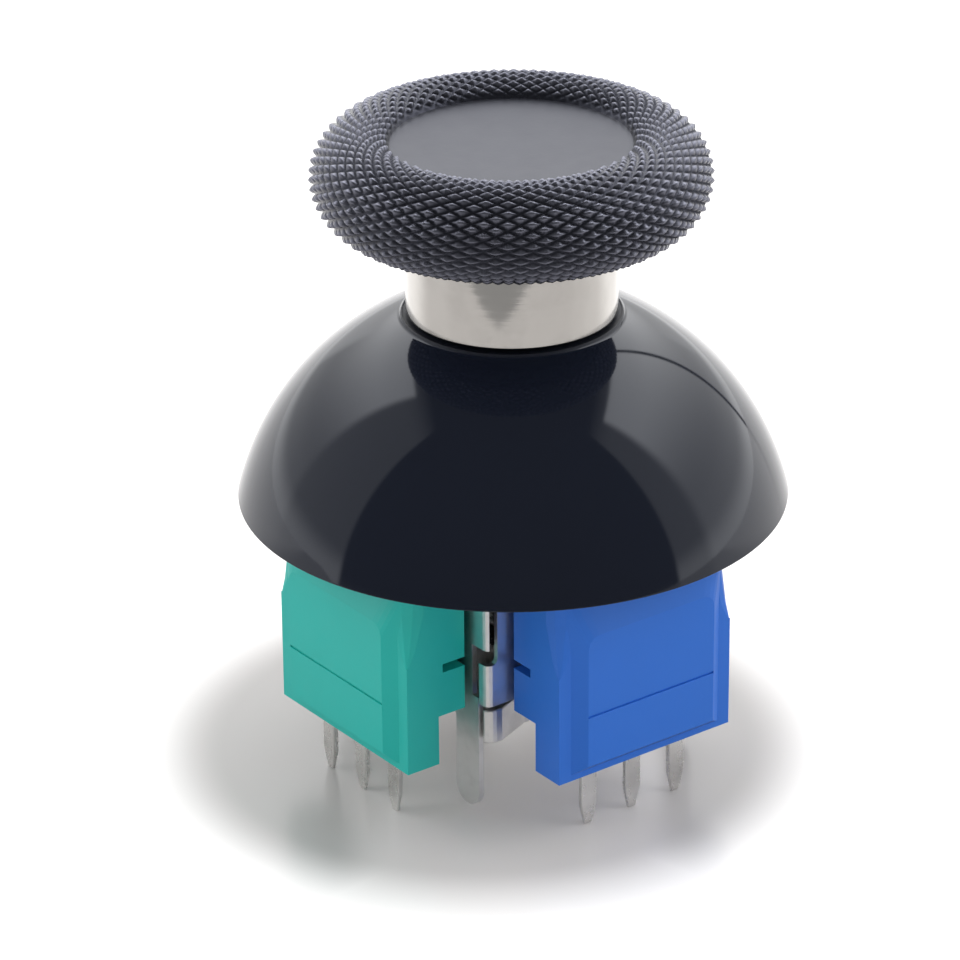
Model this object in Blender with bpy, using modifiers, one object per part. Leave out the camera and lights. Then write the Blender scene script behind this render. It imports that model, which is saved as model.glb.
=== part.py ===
"""Thumb stick module of a game controller: a knurled cap on a dome, over a stamped can
with a two-axis gimbal, two magnetic angle sensors and a click switch.

Frame: +Z up along the stick, z = 0 at the pin tips, +X to the blue sensor on the right,
-Y to the green sensor in front. The gimbal's two axes cross at height PIVOT_Z.
"""
import math

import bmesh
import bpy
from mathutils import Matrix, Vector

MM = 0.001
RUNNING_GAP = 0.3 * MM
CLOSE_GAP = 0.15 * MM
PIN_GAP = 0.1 * MM
OVERLAP = 0.25 * MM
TUCK = 0.05 * MM
CUT_PAST = 1.0 * MM

# Smoothness of round pieces
DOME_STEPS = 48
SMALL_STEPS = 20
KNURLS_PER_ROW = 52
KNURL_ROWS = 22
BASE_CORNER_STEPS = 4
LEG_TIP_STEPS = 8
SHARP_DEG = 35.0

# Heights of the whole module
BOARD_Z = 3.1 * MM
PIVOT_Z = 9.45 * MM
CAN_TOP_Z = 14.0 * MM

# Stamped can
CAN_HALF = 6.1 * MM
SHEET = 0.25 * MM
CAN_BEND = 0.3 * MM
CAN_FOOT_Z = 5.85 * MM
CAN_OPENING_R = 4.5 * MM
CORNER_SLOT = 0.42 * MM
CORNER_TAB = 0.17 * MM
CORNER_WRAP = 0.6 * MM
WINDOW_LOW_Z = 7.9 * MM
WINDOW_HIGH_Z = 8.65 * MM
WINDOW_CORNER_R = 0.3 * MM
STRIP_SETBACK = 1.1 * MM
LEG_SETBACK = 0.66 * MM
LEG_WIDE = 1.68 * MM
LEG_TIP_Z = 0.42 * MM
CRIMP_HALF = 1.2 * MM
CRIMP_REACH = 0.6 * MM

# Base plate under the gimbal
BASE_Z = 3.9 * MM
BASE_FLOOR = 0.5 * MM
BASE_CORNER = CAN_HALF - PIN_GAP
BASE_CORNER_R = 0.5 * MM
BASE_LOBE = 0.8 * MM
BASE_RECESS = 0.7 * MM
BASE_SLOPE = 1.9 * MM
BASE_SIDE = BASE_CORNER - BASE_RECESS
BASE_WAIST = BASE_SIDE - BASE_SLOPE
BASE_RIM = 0.9 * MM
PAD_INSET = 2.1 * MM
PAD_HALF = BASE_SIDE - PAD_INSET

# Lever and what it carries
SHAFT_R = 1.4 * MM
SHAFT_TOP_Z = 23.2 * MM
SHAFT_FLAT = 0.35 * MM
SHAFT_FLAT_LENGTH = 5.0 * MM
LEVER_HUB_R = 1.3 * MM
LEVER_HUB_HALF = 1.45 * MM
FLANGE_R = 1.45 * MM
FLANGE_TOP = 1.3 * MM
FLANGE_THICK = 0.3 * MM
TAIL_R = 0.75 * MM
TAIL_END = 4.45 * MM
TAIL_HEAD_R = 1.25 * MM
TAIL_HEAD_THICK = 0.25 * MM
HINGE_PIN_R = 0.5 * MM
SOCKET_R = 2.7 * MM
SOCKET_END_Z = 16.3 * MM

# Spring under the lever and its dish
DISH_R = 2.0 * MM
DISH_THICK = 0.5 * MM
DISH_BORE_GAP = 0.2 * MM
DISH_HUB_R = 1.1 * MM
SPRING_WIRE_R = 0.16 * MM
SPRING_R = 1.27 * MM
SPRING_TURNS = 4
SPRING_STEPS = 12

# Lower rocker, which turns about X
ROCKER_LENGTH_HALF = 3.0 * MM
ROCKER_WIDTH_HALF = 2.25 * MM
ROCKER_CORNER = 0.95 * MM
WINDOW_HALF_LENGTH = 2.3 * MM
WINDOW_CORNER = 0.5 * MM
ROCKER_THICK_HALF = 1.0 * MM
ROCKER_ARM_R = 1.0 * MM
ARM_OUTSIDE = 2.3 * MM
ROCKER_FAR_END = CAN_HALF + ARM_OUTSIDE

# Upper rocker, an arch which turns about Y
ARCH_INNER_R = 3.3 * MM
ARCH_THICK = 0.8 * MM
ARCH_RAIL = 0.75 * MM
ARCH_SLOT_GAP = 0.35 * MM
ARCH_LEG_DROP = 1.2 * MM
ARCH_SLOT_HALF_LENGTH = 3.3 * MM
ARCH_SLOT_FLOOR = 1.0 * MM
TRUNNION_R = 1.1 * MM

# Tangs of both rockers in the sensors' rotors
TANG_WIDE = 1.7 * MM
TANG_THICK = 0.9 * MM
TANG_INSIDE = 1.2 * MM
TANG_OUTSIDE = 0.65 * MM
TANG_START = CAN_HALF - TANG_INSIDE
TANG_END = CAN_HALF + TANG_OUTSIDE

# Sensor: rotor, magnet, chip, board and pins, as distances out from the stick's axis
ROTOR_HUB_R = 1.95 * MM
ROTOR_HUB_INSIDE = 0.9 * MM
ROTOR_HUB_START = CAN_HALF - ROTOR_HUB_INSIDE
ROTOR_R = 2.4 * MM
ROTOR_START = CAN_HALF + RUNNING_GAP
ROTOR_THICK = 1.45 * MM
MAGNET_R = 1.6 * MM
MAGNET_THICK = 0.5 * MM
CHIP_THICK = 0.35 * MM
CHIP_WIDE_HALF = 1.6 * MM
CHIP_HIGH_HALF = 1.2 * MM
SENSOR_BOARD_THICK = 0.4 * MM
SENSOR_BOARD_HALF = 3.6 * MM
SENSOR_BOARD_TOP_Z = 12.0 * MM
PIN_PITCH = 2.5 * MM
PIN_WIDE = 0.85 * MM
PIN_THICK = 0.27 * MM
PIN_TAPER = 1.0 * MM
PIN_TIP_SHARE = 0.5
PIN_SETBACK = 0.95 * MM
PIN_TOP_Z = 5.2 * MM

# Sensor covers
RIGHT_DEEP = 3.58 * MM
FRONT_DEEP = 3.47 * MM
RIGHT_REACH = CAN_HALF + RIGHT_DEEP
FRONT_REACH = CAN_HALF + FRONT_DEEP
COVER_HALF = 4.84 * MM
COVER_TOP_Z = 12.7 * MM
COVER_SKIRT = 1.72 * MM
COVER_STEP_Z = 5.49 * MM
COVER_WALL = 0.6 * MM
COVER_FACE = 0.22 * MM
COVER_SHOULDER_Z = 8.4 * MM
COVER_SHOULDER_R = 0.1 * MM
COVER_SLOPE_Z = 9.15 * MM
COVER_SLOPE_R = 0.48 * MM
COVER_CORNER_Z = 10.8 * MM
COVER_CORNER_R = 0.95 * MM
CORNER_STEPS = 3
PANEL_RAISE = 0.45 * MM
PANEL_HALF = 3.55 * MM
PANEL_CORNER_R = 0.6 * MM
PANEL_SLOPE = 0.8 * MM
PANEL_LOW_Z = 3.8 * MM
PANEL_LOW_SLOPE = 0.5 * MM
PANEL_HIGH_Z = 10.2 * MM
PANEL_HIGH_SLOPE = 2.0 * MM
GROOVE_Z = 6.22 * MM
GROOVE_WIDE = 0.12 * MM
GROOVE_DEEP = 0.1 * MM
LATCH_LOW_Z = 7.62 * MM
LATCH_HIGH = 0.42 * MM
LATCH_LONG = 1.2 * MM

# Click switch on the far side from the right sensor
SWITCH_START = CAN_HALF + RUNNING_GAP
SWITCH_DEEP = 3.1 * MM
SWITCH_HALF = 3.2 * MM
SWITCH_TOP_Z = 7.2 * MM
SWITCH_WELL_R = 1.65 * MM
SWITCH_WELL_FLOOR_Z = 5.85 * MM
SNAP_THICK = 0.12 * MM
SNAP_RISE = 0.25 * MM
PLUNGER_R = 1.05 * MM
PLUNGER_FLANGE_R = 1.35 * MM
PLUNGER_FLANGE_THICK = 0.3 * MM
PLUNGER_FOOT_Z = 6.75 * MM
CLICK_TRAVEL = 0.3 * MM
SWITCH_SHEET = 0.2 * MM
SWITCH_FLAP_Z = 4.2 * MM
SWITCH_PIN_HALF_PITCH = 2.25 * MM
SWITCH_PIN_WIDE = 0.7 * MM
SWITCH_PIN_TOP_Z = 4.8 * MM

# Dome, its neck and the ring round the neck
DOME_R = 12.87 * MM
DOME_WALL = 0.92 * MM
DOME_RIM_Z = 12.65 * MM
RING_R = 4.75 * MM
RING_WALL = 0.4 * MM
NECK_R = RING_R - RING_WALL - RUNNING_GAP
NECK_TOP_Z = 27.1 * MM
RING_LOW_Z = 21.55 * MM
RING_HIGH_Z = 25.9 * MM
RING_EDGE = 0.12 * MM
LIP_WIDE = 0.12 * MM
LIP_RISE = 0.22 * MM
DOME_OUTER_STEPS = 11
DOME_INNER_STEPS = 5

# Knurled cap
CAP_TUBE_CENTRE_R = 6.7 * MM
CAP_TUBE_R = 2.25 * MM
CAP_TUBE_Z = 27.94 * MM
KNURL_DEEP = 0.25 * MM
KNURL_START_DEG = 130.0
KNURL_END_DEG = -108.0
DISC_STEP = 0.15 * MM
DISC_DISH = 0.06 * MM
CAP_UNDERSIDE_Z = 26.3 * MM
CAP_UNDERSIDE_R = 5.6 * MM

PARTS = bpy.data.collections.new("analog_stick")
CUTTERS = bpy.data.collections.new("cutters")

X_AXIS = Vector((1.0, 0.0, 0.0))
Y_AXIS = Vector((0.0, 1.0, 0.0))
Z_AXIS = Vector((0.0, 0.0, 1.0))
PIVOT = Vector((0.0, 0.0, PIVOT_Z))
ON_FLOOR = Vector((0.0, 0.0, 0.0))

# Directions of an outline's two coordinates and of its thickness
ALONG_Z = (X_AXIS, Y_AXIS, Z_AXIS)
ALONG_X = (Y_AXIS, Z_AXIS, X_AXIS)
ALONG_Y = (X_AXIS, Z_AXIS, -Y_AXIS)


def clear_scene():
    for thing in list(bpy.data.objects):
        bpy.data.objects.remove(thing, do_unlink=True)
    for collection in (PARTS, CUTTERS):
        bpy.context.scene.collection.children.link(collection)


def material(name, colour, roughness, metallic=0.0):
    made = bpy.data.materials.new(name)
    made.use_nodes = True
    shader = made.node_tree.nodes["Principled BSDF"]
    shader.inputs["Base Color"].default_value = (*colour, 1.0)
    shader.inputs["Roughness"].default_value = roughness
    shader.inputs["Metallic"].default_value = metallic
    return made


def put(name, mesh, collection=None, origin=ON_FLOOR, parent=None):
    """Object from a mesh drawn in its parent's space, with its origin at the given place."""
    mesh.transform(Matrix.Translation(-origin))
    thing = bpy.data.objects.new(name, mesh)
    (collection or PARTS).objects.link(thing)
    thing.location = origin
    thing.parent = parent
    if collection is CUTTERS:
        thing.hide_render = True
        thing.display_type = "WIRE"
    return thing


def box_mesh(name, low, high):
    low, high = Vector(low), Vector(high)
    size, middle = high - low, (high + low) / 2.0
    bm = bmesh.new()
    placed = Matrix.Translation(middle) @ Matrix.Diagonal((*size, 1.0))
    bmesh.ops.create_cube(bm, size=1.0, matrix=placed)
    mesh = bpy.data.meshes.new(name)
    bm.to_mesh(mesh)
    bm.free()
    return mesh


def rod_mesh(name, radius, start, end, steps=SMALL_STEPS):
    start, end = Vector(start), Vector(end)
    along = end - start
    turn = along.to_track_quat("Z", "Y").to_matrix().to_4x4()
    bm = bmesh.new()
    bmesh.ops.create_cone(
        bm, cap_ends=True, segments=steps, radius1=radius, radius2=radius,
        depth=along.length, matrix=Matrix.Translation((start + end) / 2.0) @ turn)
    mesh = bpy.data.meshes.new(name)
    bm.to_mesh(mesh)
    bm.free()
    return mesh


def turned_mesh(name, profile, steps=SMALL_STEPS, closed=False):
    """Mesh of a (radius, height) profile turned about Z; it runs down its outer side."""
    bm = bmesh.new()
    points = [bm.verts.new((radius, 0.0, height)) for radius, height in profile]
    ends = points[1:] + points[:1] if closed else points[1:]
    for first, second in zip(points, ends):
        bm.edges.new((first, second))
    outline = bpy.data.meshes.new(name + "_profile")
    bm.to_mesh(outline)
    bm.free()
    lathe = bpy.data.objects.new(name + "_lathe", outline)
    CUTTERS.objects.link(lathe)
    screw = lathe.modifiers.new("turn", "SCREW")
    screw.axis = "Z"
    screw.steps = steps
    screw.render_steps = steps
    screw.use_merge_vertices = True
    screw.merge_threshold = 0.001 * MM
    return taken_from(lathe, name)


def taken_from(thing, name):
    """Evaluated mesh of a construction object, which is then removed."""
    bpy.context.view_layer.update()
    graph = bpy.context.evaluated_depsgraph_get()
    mesh = bpy.data.meshes.new_from_object(thing.evaluated_get(graph))
    mesh.name = name
    mesh.transform(thing.matrix_world)
    bm = bmesh.new()
    bm.from_mesh(mesh)
    bmesh.ops.remove_doubles(bm, verts=bm.verts, dist=0.001 * MM)
    bm.to_mesh(mesh)
    bm.free()
    bpy.data.objects.remove(thing, do_unlink=True)
    return mesh


def plate_mesh(name, outlines, low, high, directions=ALONG_Z):
    """Mesh of flat outlines, the later ones holes, between two distances along an axis.

    Outlines are (x, y) along Z, (y, z) along X and (x, z) along Y, which faces -Y.
    """
    curve = bpy.data.curves.new(name, "CURVE")
    curve.dimensions = "2D"
    curve.fill_mode = "BOTH"
    curve.extrude = (high - low) / 2.0
    for outline in outlines:
        spline = curve.splines.new("POLY")
        spline.points.add(len(outline) - 1)
        spline.use_cyclic_u = True
        for point, (u, v) in zip(spline.points, outline):
            point.co = (u, v, 0.0, 1.0)
    sheet = bpy.data.objects.new(name + "_outline", curve)
    CUTTERS.objects.link(sheet)
    turn = Matrix(directions).transposed().to_4x4()
    sheet.matrix_world = Matrix.Translation(directions[2] * (low + high) / 2.0) @ turn
    return taken_from(sheet, name)


def join(target, mesh):
    combine(target, mesh, "UNION")


def cut(target, mesh):
    combine(target, mesh, "DIFFERENCE")


def combine(target, mesh, operation):
    """Boolean of a mesh drawn in the target's parent space."""
    tool = put(target.name + "_" + mesh.name, mesh, CUTTERS)
    tool.parent = target.parent
    change = target.modifiers.new(mesh.name, "BOOLEAN")
    change.operation = operation
    change.object = tool


def finish(thing, skin, smooth=True):
    """Bakes a piece's modifiers, shades it and gives it its material."""
    bpy.context.view_layer.update()
    graph = bpy.context.evaluated_depsgraph_get()
    mesh = bpy.data.meshes.new_from_object(thing.evaluated_get(graph))
    thing.modifiers.clear()
    thing.data = mesh
    mesh.name = thing.name
    mesh.materials.clear()
    mesh.materials.append(skin)
    if smooth:
        mesh.shade_smooth()
        mesh.set_sharp_from_angle(angle=math.radians(SHARP_DEG))
    return thing


def arc(centre, radius, start_deg, end_deg, steps):
    """Points on an arc, as (u, v), with both ends."""
    points = []
    for step in range(steps + 1):
        angle = math.radians(start_deg + (end_deg - start_deg) * step / steps)
        points.append((centre[0] + radius * math.cos(angle), centre[1] + radius * math.sin(angle)))
    return points


def pivot_empty(name, place, turn_deg=0.0):
    """Empty that carries pieces, at the given place and turned about Z."""
    empty = bpy.data.objects.new(name, None)
    PARTS.objects.link(empty)
    empty.location = place
    empty.rotation_euler = (0.0, 0.0, math.radians(turn_deg))
    return empty


def sphere_height(radius_of_sphere, radius):
    """Height of a sphere about the pivot where it has the given radius about Z."""
    return PIVOT_Z + math.sqrt(radius_of_sphere ** 2 - radius ** 2)


def sphere_arc(radius_of_sphere, start_radius, end_radius, steps):
    """Profile points on the sphere about the pivot, between two radii about Z."""
    start = math.degrees(math.acos(start_radius / radius_of_sphere))
    end = math.degrees(math.acos(end_radius / radius_of_sphere))
    return arc((0.0, PIVOT_Z), radius_of_sphere, start, end, steps)


def knurl_ring(bm, tube_angle, row):
    """Ring of points on the cap's round rim; every other one stands up as a knurl's tip."""
    columns = 2 * KNURLS_PER_ROW
    ring = []
    plain = row in (0, KNURL_ROWS)
    for column in range(columns):
        raised = (row + column) % 2 == 0 and not plain
        tube = CAP_TUBE_R - (0.0 if raised else KNURL_DEEP)
        radius = CAP_TUBE_CENTRE_R + tube * math.cos(tube_angle)
        height = CAP_TUBE_Z + tube * math.sin(tube_angle)
        around = 2.0 * math.pi * column / columns
        ring.append(bm.verts.new((radius * math.cos(around), radius * math.sin(around), height)))
    return ring


def plain_ring(bm, radius, height):
    columns = 2 * KNURLS_PER_ROW
    ring = []
    for column in range(columns):
        around = 2.0 * math.pi * column / columns
        ring.append(bm.verts.new((radius * math.cos(around), radius * math.sin(around), height)))
    return ring


def stitch(bm, upper, lower, row):
    """Triangles between two rings, split so that the grooves run straight between the tips."""
    columns = len(upper)
    for column in range(columns):
        after = (column + 1) % columns
        a, b, c, d = upper[column], upper[after], lower[after], lower[column]
        if (row + column) % 2 == 0:
            bm.faces.new((a, d, b))
            bm.faces.new((b, d, c))
        else:
            bm.faces.new((a, d, c))
            bm.faces.new((a, c, b))


def thumb_cap(parent, skin):
    """Cap: a smooth dished disc in a round rim of crossing knurls, hollow underneath."""
    bm = bmesh.new()
    start, end = math.radians(KNURL_START_DEG), math.radians(KNURL_END_DEG)
    rings = []
    for row in range(KNURL_ROWS + 1):
        rings.append(knurl_ring(bm, start + (end - start) * row / KNURL_ROWS, row))
    edge = rings[0][0].co
    disc_z = edge.z - DISC_STEP
    recess_r = RING_R - CLOSE_GAP
    recess_top = NECK_TOP_Z + RUNNING_GAP
    rings.insert(0, plain_ring(bm, edge.x - DISC_STEP, disc_z))
    rings.append(plain_ring(bm, CAP_UNDERSIDE_R, CAP_UNDERSIDE_Z))
    rings.append(plain_ring(bm, recess_r, CAP_UNDERSIDE_Z))
    rings.append(plain_ring(bm, recess_r, recess_top))
    for row, (upper, lower) in enumerate(zip(rings, rings[1:])):
        stitch(bm, upper, lower, row - 1)
    for ring, height in ((rings[0], disc_z - DISC_DISH), (rings[-1], recess_top)):
        middle = bm.verts.new((0.0, 0.0, height))
        for column, point in enumerate(ring):
            bm.faces.new((middle, point, ring[(column + 1) % len(ring)]))
    bmesh.ops.recalc_face_normals(bm, faces=bm.faces)
    mesh = bpy.data.meshes.new("thumb_cap")
    bm.to_mesh(mesh)
    bm.free()
    return finish(put("thumb_cap", mesh, parent=parent, origin=PIVOT), skin, smooth=False)


def wear_ring(parent, skin):
    inner = RING_R - RING_WALL
    profile = [(inner, RING_HIGH_Z), (RING_R - RING_EDGE, RING_HIGH_Z),
               (RING_R, RING_HIGH_Z - RING_EDGE), (RING_R, RING_LOW_Z + RING_EDGE),
               (RING_R - RING_EDGE, RING_LOW_Z), (inner, RING_LOW_Z)]
    mesh = turned_mesh("wear_ring", profile, DOME_STEPS, closed=True)
    return finish(put("wear_ring", mesh, parent=parent, origin=PIVOT), skin)


def stick_dome(parent, skin):
    """Dome, neck and stem socket, moulded as one piece and turned about the stick."""
    inner_r = DOME_R - DOME_WALL
    rim_drop = DOME_RIM_Z - PIVOT_Z
    outer_rim = math.sqrt(DOME_R ** 2 - rim_drop ** 2)
    inner_rim = math.sqrt(inner_r ** 2 - rim_drop ** 2)
    lip_r = RING_R + CLOSE_GAP + LIP_WIDE
    seat_z = RING_LOW_Z - CLOSE_GAP
    bore_r = SHAFT_R + RUNNING_GAP
    profile = [(0.0, NECK_TOP_Z), (NECK_R - RING_EDGE, NECK_TOP_Z),
               (NECK_R, NECK_TOP_Z - RING_EDGE), (NECK_R, seat_z),
               (RING_R + CLOSE_GAP, seat_z), (RING_R + CLOSE_GAP, seat_z + LIP_RISE / 2.0),
               (lip_r, seat_z + LIP_RISE / 2.0)]
    profile += sphere_arc(DOME_R, lip_r + CLOSE_GAP, outer_rim, DOME_OUTER_STEPS)
    profile += sphere_arc(inner_r, inner_rim, SOCKET_R + SHEET, DOME_INNER_STEPS)
    profile += [(SOCKET_R, sphere_height(inner_r, SOCKET_R) - SHEET), (SOCKET_R, SOCKET_END_Z),
                (bore_r, SOCKET_END_Z), (bore_r, SHAFT_TOP_Z + RUNNING_GAP),
                (0.0, SHAFT_TOP_Z + RUNNING_GAP)]
    mesh = turned_mesh("stick_dome", profile, DOME_STEPS)
    return finish(put("stick_dome", mesh, parent=parent, origin=PIVOT), skin)


def lever(parent, skin):
    """Shaft with a cross hub, a spring flange and a headed tail, and a flat at its top."""
    flange_z = PIVOT_Z - FLANGE_TOP
    tail_z = PIVOT_Z - TAIL_END
    profile = [(0.0, SHAFT_TOP_Z), (SHAFT_R - RING_EDGE, SHAFT_TOP_Z),
               (SHAFT_R, SHAFT_TOP_Z - RING_EDGE), (SHAFT_R, flange_z + OVERLAP),
               (FLANGE_R, flange_z), (FLANGE_R, flange_z - FLANGE_THICK),
               (TAIL_R, flange_z - FLANGE_THICK), (TAIL_R, tail_z + TAIL_HEAD_THICK),
               (TAIL_HEAD_R, tail_z + TAIL_HEAD_THICK), (TAIL_HEAD_R - RING_EDGE, tail_z),
               (0.0, tail_z)]
    shaft = put("lever", turned_mesh("lever", profile), parent=parent, origin=PIVOT)
    hub_ends = Y_AXIS * LEVER_HUB_HALF
    join(shaft, rod_mesh("hub", LEVER_HUB_R, PIVOT - hub_ends, PIVOT + hub_ends))
    bore_ends = hub_ends + Y_AXIS * CUT_PAST
    bore_r = HINGE_PIN_R + PIN_GAP
    cut(shaft, rod_mesh("pin_bore", bore_r, PIVOT - bore_ends, PIVOT + bore_ends))
    flat = SHAFT_R - SHAFT_FLAT
    cut(shaft, box_mesh("flat", (-2.0 * SHAFT_R, flat, SHAFT_TOP_Z - SHAFT_FLAT_LENGTH),
                        (2.0 * SHAFT_R, 2.0 * SHAFT_R, SHAFT_TOP_Z + CUT_PAST)))
    return finish(shaft, skin)


def lever_pin(parent, skin):
    ends = Y_AXIS * (ROCKER_WIDTH_HALF + CLOSE_GAP)
    mesh = rod_mesh("lever_pin", HINGE_PIN_R, PIVOT - ends, PIVOT + ends)
    return finish(put("lever_pin", mesh, parent=parent, origin=PIVOT), skin)


def lower_rocker(parent, skin):
    """Window frame round the lever's hub, with a round arm on the switch's side and a flat
    tang on the sensor's side."""
    wide, long = ROCKER_WIDTH_HALF, ROCKER_LENGTH_HALF
    window_wide = LEVER_HUB_HALF + RUNNING_GAP
    outlines = [corner_cut_rectangle(long, wide, ROCKER_CORNER),
                corner_cut_rectangle(WINDOW_HALF_LENGTH, window_wide, WINDOW_CORNER)]
    frame = plate_mesh("lower_rocker", outlines, PIVOT_Z - ROCKER_THICK_HALF,
                       PIVOT_Z + ROCKER_THICK_HALF)
    rocker = put("lower_rocker", frame, parent=parent, origin=PIVOT)
    inner = X_AXIS * (ROCKER_LENGTH_HALF - OVERLAP)
    arm = ROCKER_ARM_R - CLOSE_GAP / 2.0
    join(rocker, rod_mesh("switch_arm", arm, PIVOT - inner, PIVOT - X_AXIS * ROCKER_FAR_END))
    join(rocker, rod_mesh("sensor_arm", arm, PIVOT + inner, PIVOT + X_AXIS * TANG_START))
    join(rocker, tang_mesh())
    pin_ends = Y_AXIS * (wide + CUT_PAST)
    bore_r = HINGE_PIN_R + PIN_GAP
    cut(rocker, rod_mesh("pin_bores", bore_r, PIVOT - pin_ends, PIVOT + pin_ends))
    return finish(rocker, skin)


def corner_cut_rectangle(half_u, half_v, corner):
    return [(half_u, -half_v + corner), (half_u, half_v - corner), (half_u - corner, half_v),
            (corner - half_u, half_v), (-half_u, half_v - corner), (-half_u, corner - half_v),
            (corner - half_u, -half_v), (half_u - corner, -half_v)]


def tang_mesh():
    """Flat tang along +X that a sensor's rotor turns with."""
    half_wide, half_thick = TANG_WIDE / 2.0, TANG_THICK / 2.0
    return box_mesh("tang", (TANG_START - OVERLAP, -half_thick, PIVOT_Z - half_wide),
                    (TANG_END, half_thick, PIVOT_Z + half_wide))


def upper_rocker(parent, skin):
    """Arch over the lower rocker, slotted for the shaft, drawn in the front sensor's space:
    its own length lies along local X."""
    outer = ARCH_INNER_R + ARCH_THICK
    foot = -ARCH_LEG_DROP
    outline = [(outer, foot)] + arc((0.0, 0.0), outer, 0.0, 180.0, SMALL_STEPS) + [(-outer, foot)]
    outline += [(-ARCH_INNER_R, foot)]
    outline += arc((0.0, 0.0), ARCH_INNER_R, 180.0, 0.0, SMALL_STEPS) + [(ARCH_INNER_R, foot)]
    slot_half = SHAFT_R + ARCH_SLOT_GAP
    half_width = slot_half + ARCH_RAIL
    outline = [(u, v + PIVOT_Z) for u, v in outline]
    bow = plate_mesh("upper_rocker", [outline], -half_width, half_width, ALONG_Y)
    arch = put("upper_rocker", bow, parent=parent, origin=PIVOT)
    cut(arch, box_mesh("shaft_slot", (-ARCH_SLOT_HALF_LENGTH, -slot_half,
                                      PIVOT_Z + ARCH_SLOT_FLOOR),
                       (ARCH_SLOT_HALF_LENGTH, slot_half, PIVOT_Z + outer + CUT_PAST)))
    inner = X_AXIS * (outer - OVERLAP)
    far_end = X_AXIS * (CAN_HALF + RUNNING_GAP)
    join(arch, rod_mesh("far_trunnion", TRUNNION_R, PIVOT - inner, PIVOT - far_end))
    join(arch, rod_mesh("sensor_trunnion", TRUNNION_R, PIVOT + inner,
                        PIVOT + X_AXIS * TANG_START))
    join(arch, tang_mesh())
    return finish(arch, skin)


def spring_dish(parent, skin):
    """Dish on the lever's tail that the spring presses down against the tail's head."""
    low = PIVOT_Z - TAIL_END + TAIL_HEAD_THICK + CLOSE_GAP
    bore_r = TAIL_R + DISH_BORE_GAP
    high = low + DISH_THICK
    profile = [(bore_r, high + RING_EDGE), (DISH_HUB_R, high + RING_EDGE), (DISH_HUB_R, high),
               (DISH_R - RING_EDGE, high), (DISH_R, high - RING_EDGE), (DISH_R, low + CLOSE_GAP),
               (DISH_R - CLOSE_GAP, low), (bore_r, low)]
    mesh = turned_mesh("spring_dish", profile, closed=True)
    return finish(put("spring_dish", mesh, parent=parent, origin=PIVOT), skin)


def return_spring(parent, skin):
    """Coil between the lever's flange and the dish."""
    top = PIVOT_Z - FLANGE_TOP - FLANGE_THICK - SPRING_WIRE_R - CLOSE_GAP / 2.0
    dish_top = PIVOT_Z - TAIL_END + TAIL_HEAD_THICK + CLOSE_GAP + DISH_THICK
    bottom = dish_top + SPRING_WIRE_R + CLOSE_GAP / 2.0
    steps = SPRING_STEPS * SPRING_TURNS
    curve = bpy.data.curves.new("return_spring", "CURVE")
    curve.dimensions = "3D"
    curve.bevel_depth = SPRING_WIRE_R
    curve.bevel_resolution = 1
    curve.use_fill_caps = True
    spline = curve.splines.new("POLY")
    spline.points.add(steps)
    for step, point in enumerate(spline.points):
        share = step / steps
        around = 2.0 * math.pi * SPRING_TURNS * share
        height = top + (bottom - top) * share
        point.co = (SPRING_R * math.cos(around), SPRING_R * math.sin(around), height, 1.0)
    coil = bpy.data.objects.new("return_spring_wire", curve)
    CUTTERS.objects.link(coil)
    mesh = taken_from(coil, "return_spring")
    return finish(put("return_spring", mesh, parent=parent, origin=PIVOT), skin)


def frame_can(skin):
    """Stamped can: bent corners, corner slots and windows, axle holes, legs and crimp tabs."""
    half = CAN_HALF
    mesh = box_mesh("frame_can", (-half, -half, CAN_FOOT_Z), (half, half, CAN_TOP_Z))
    bm = bmesh.new()
    bm.from_mesh(mesh)
    lowest = [face for face in bm.faces if face.normal.z < -0.5]
    bmesh.ops.delete(bm, geom=lowest, context="FACES_ONLY")
    bends = [edge for edge in bm.edges if len(edge.link_faces) == 2]
    bmesh.ops.bevel(bm, geom=bends, offset=CAN_BEND, segments=3, profile=0.5,
                    affect="EDGES", clamp_overlap=True)
    bm.to_mesh(mesh)
    bm.free()
    can = put("frame_can", mesh)
    shell = can.modifiers.new("sheet", "SOLIDIFY")
    shell.thickness = SHEET
    shell.offset = -1.0
    can_openings(can)
    for quarter in range(4):
        turn = Matrix.Rotation(math.radians(90.0 * quarter), 4, "Z")
        corner_relief(can, turn, quarter)
    for side in (-1.0, 1.0):
        for end in (-1.0, 1.0):
            can_leg(can, side, end)
        crimp_tab(can, side)
    return finish(can, skin)


def can_openings(can):
    middle_z = (CAN_TOP_Z + CAN_FOOT_Z) / 2.0
    cut(can, rod_mesh("stick_opening", CAN_OPENING_R, (0.0, 0.0, middle_z),
                      (0.0, 0.0, CAN_TOP_Z + CUT_PAST), DOME_STEPS // 2))
    rotor_hole = ROTOR_HUB_R + CLOSE_GAP
    inside = CAN_HALF - CUT_PAST
    outside = CAN_HALF + CUT_PAST
    cut(can, rod_mesh("right_hole", rotor_hole, PIVOT + X_AXIS * inside,
                      PIVOT + X_AXIS * outside))
    cut(can, rod_mesh("front_hole", rotor_hole, PIVOT - Y_AXIS * inside,
                      PIVOT - Y_AXIS * outside))
    cut(can, rod_mesh("back_hole", TRUNNION_R + CLOSE_GAP, PIVOT + Y_AXIS * inside,
                      PIVOT + Y_AXIS * outside))
    slot = ROCKER_ARM_R + RUNNING_GAP
    cut(can, box_mesh("switch_slot", (-outside, -slot, PIVOT_Z - slot - CLICK_TRAVEL),
                      (-inside, slot, PIVOT_Z + slot)))


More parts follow.
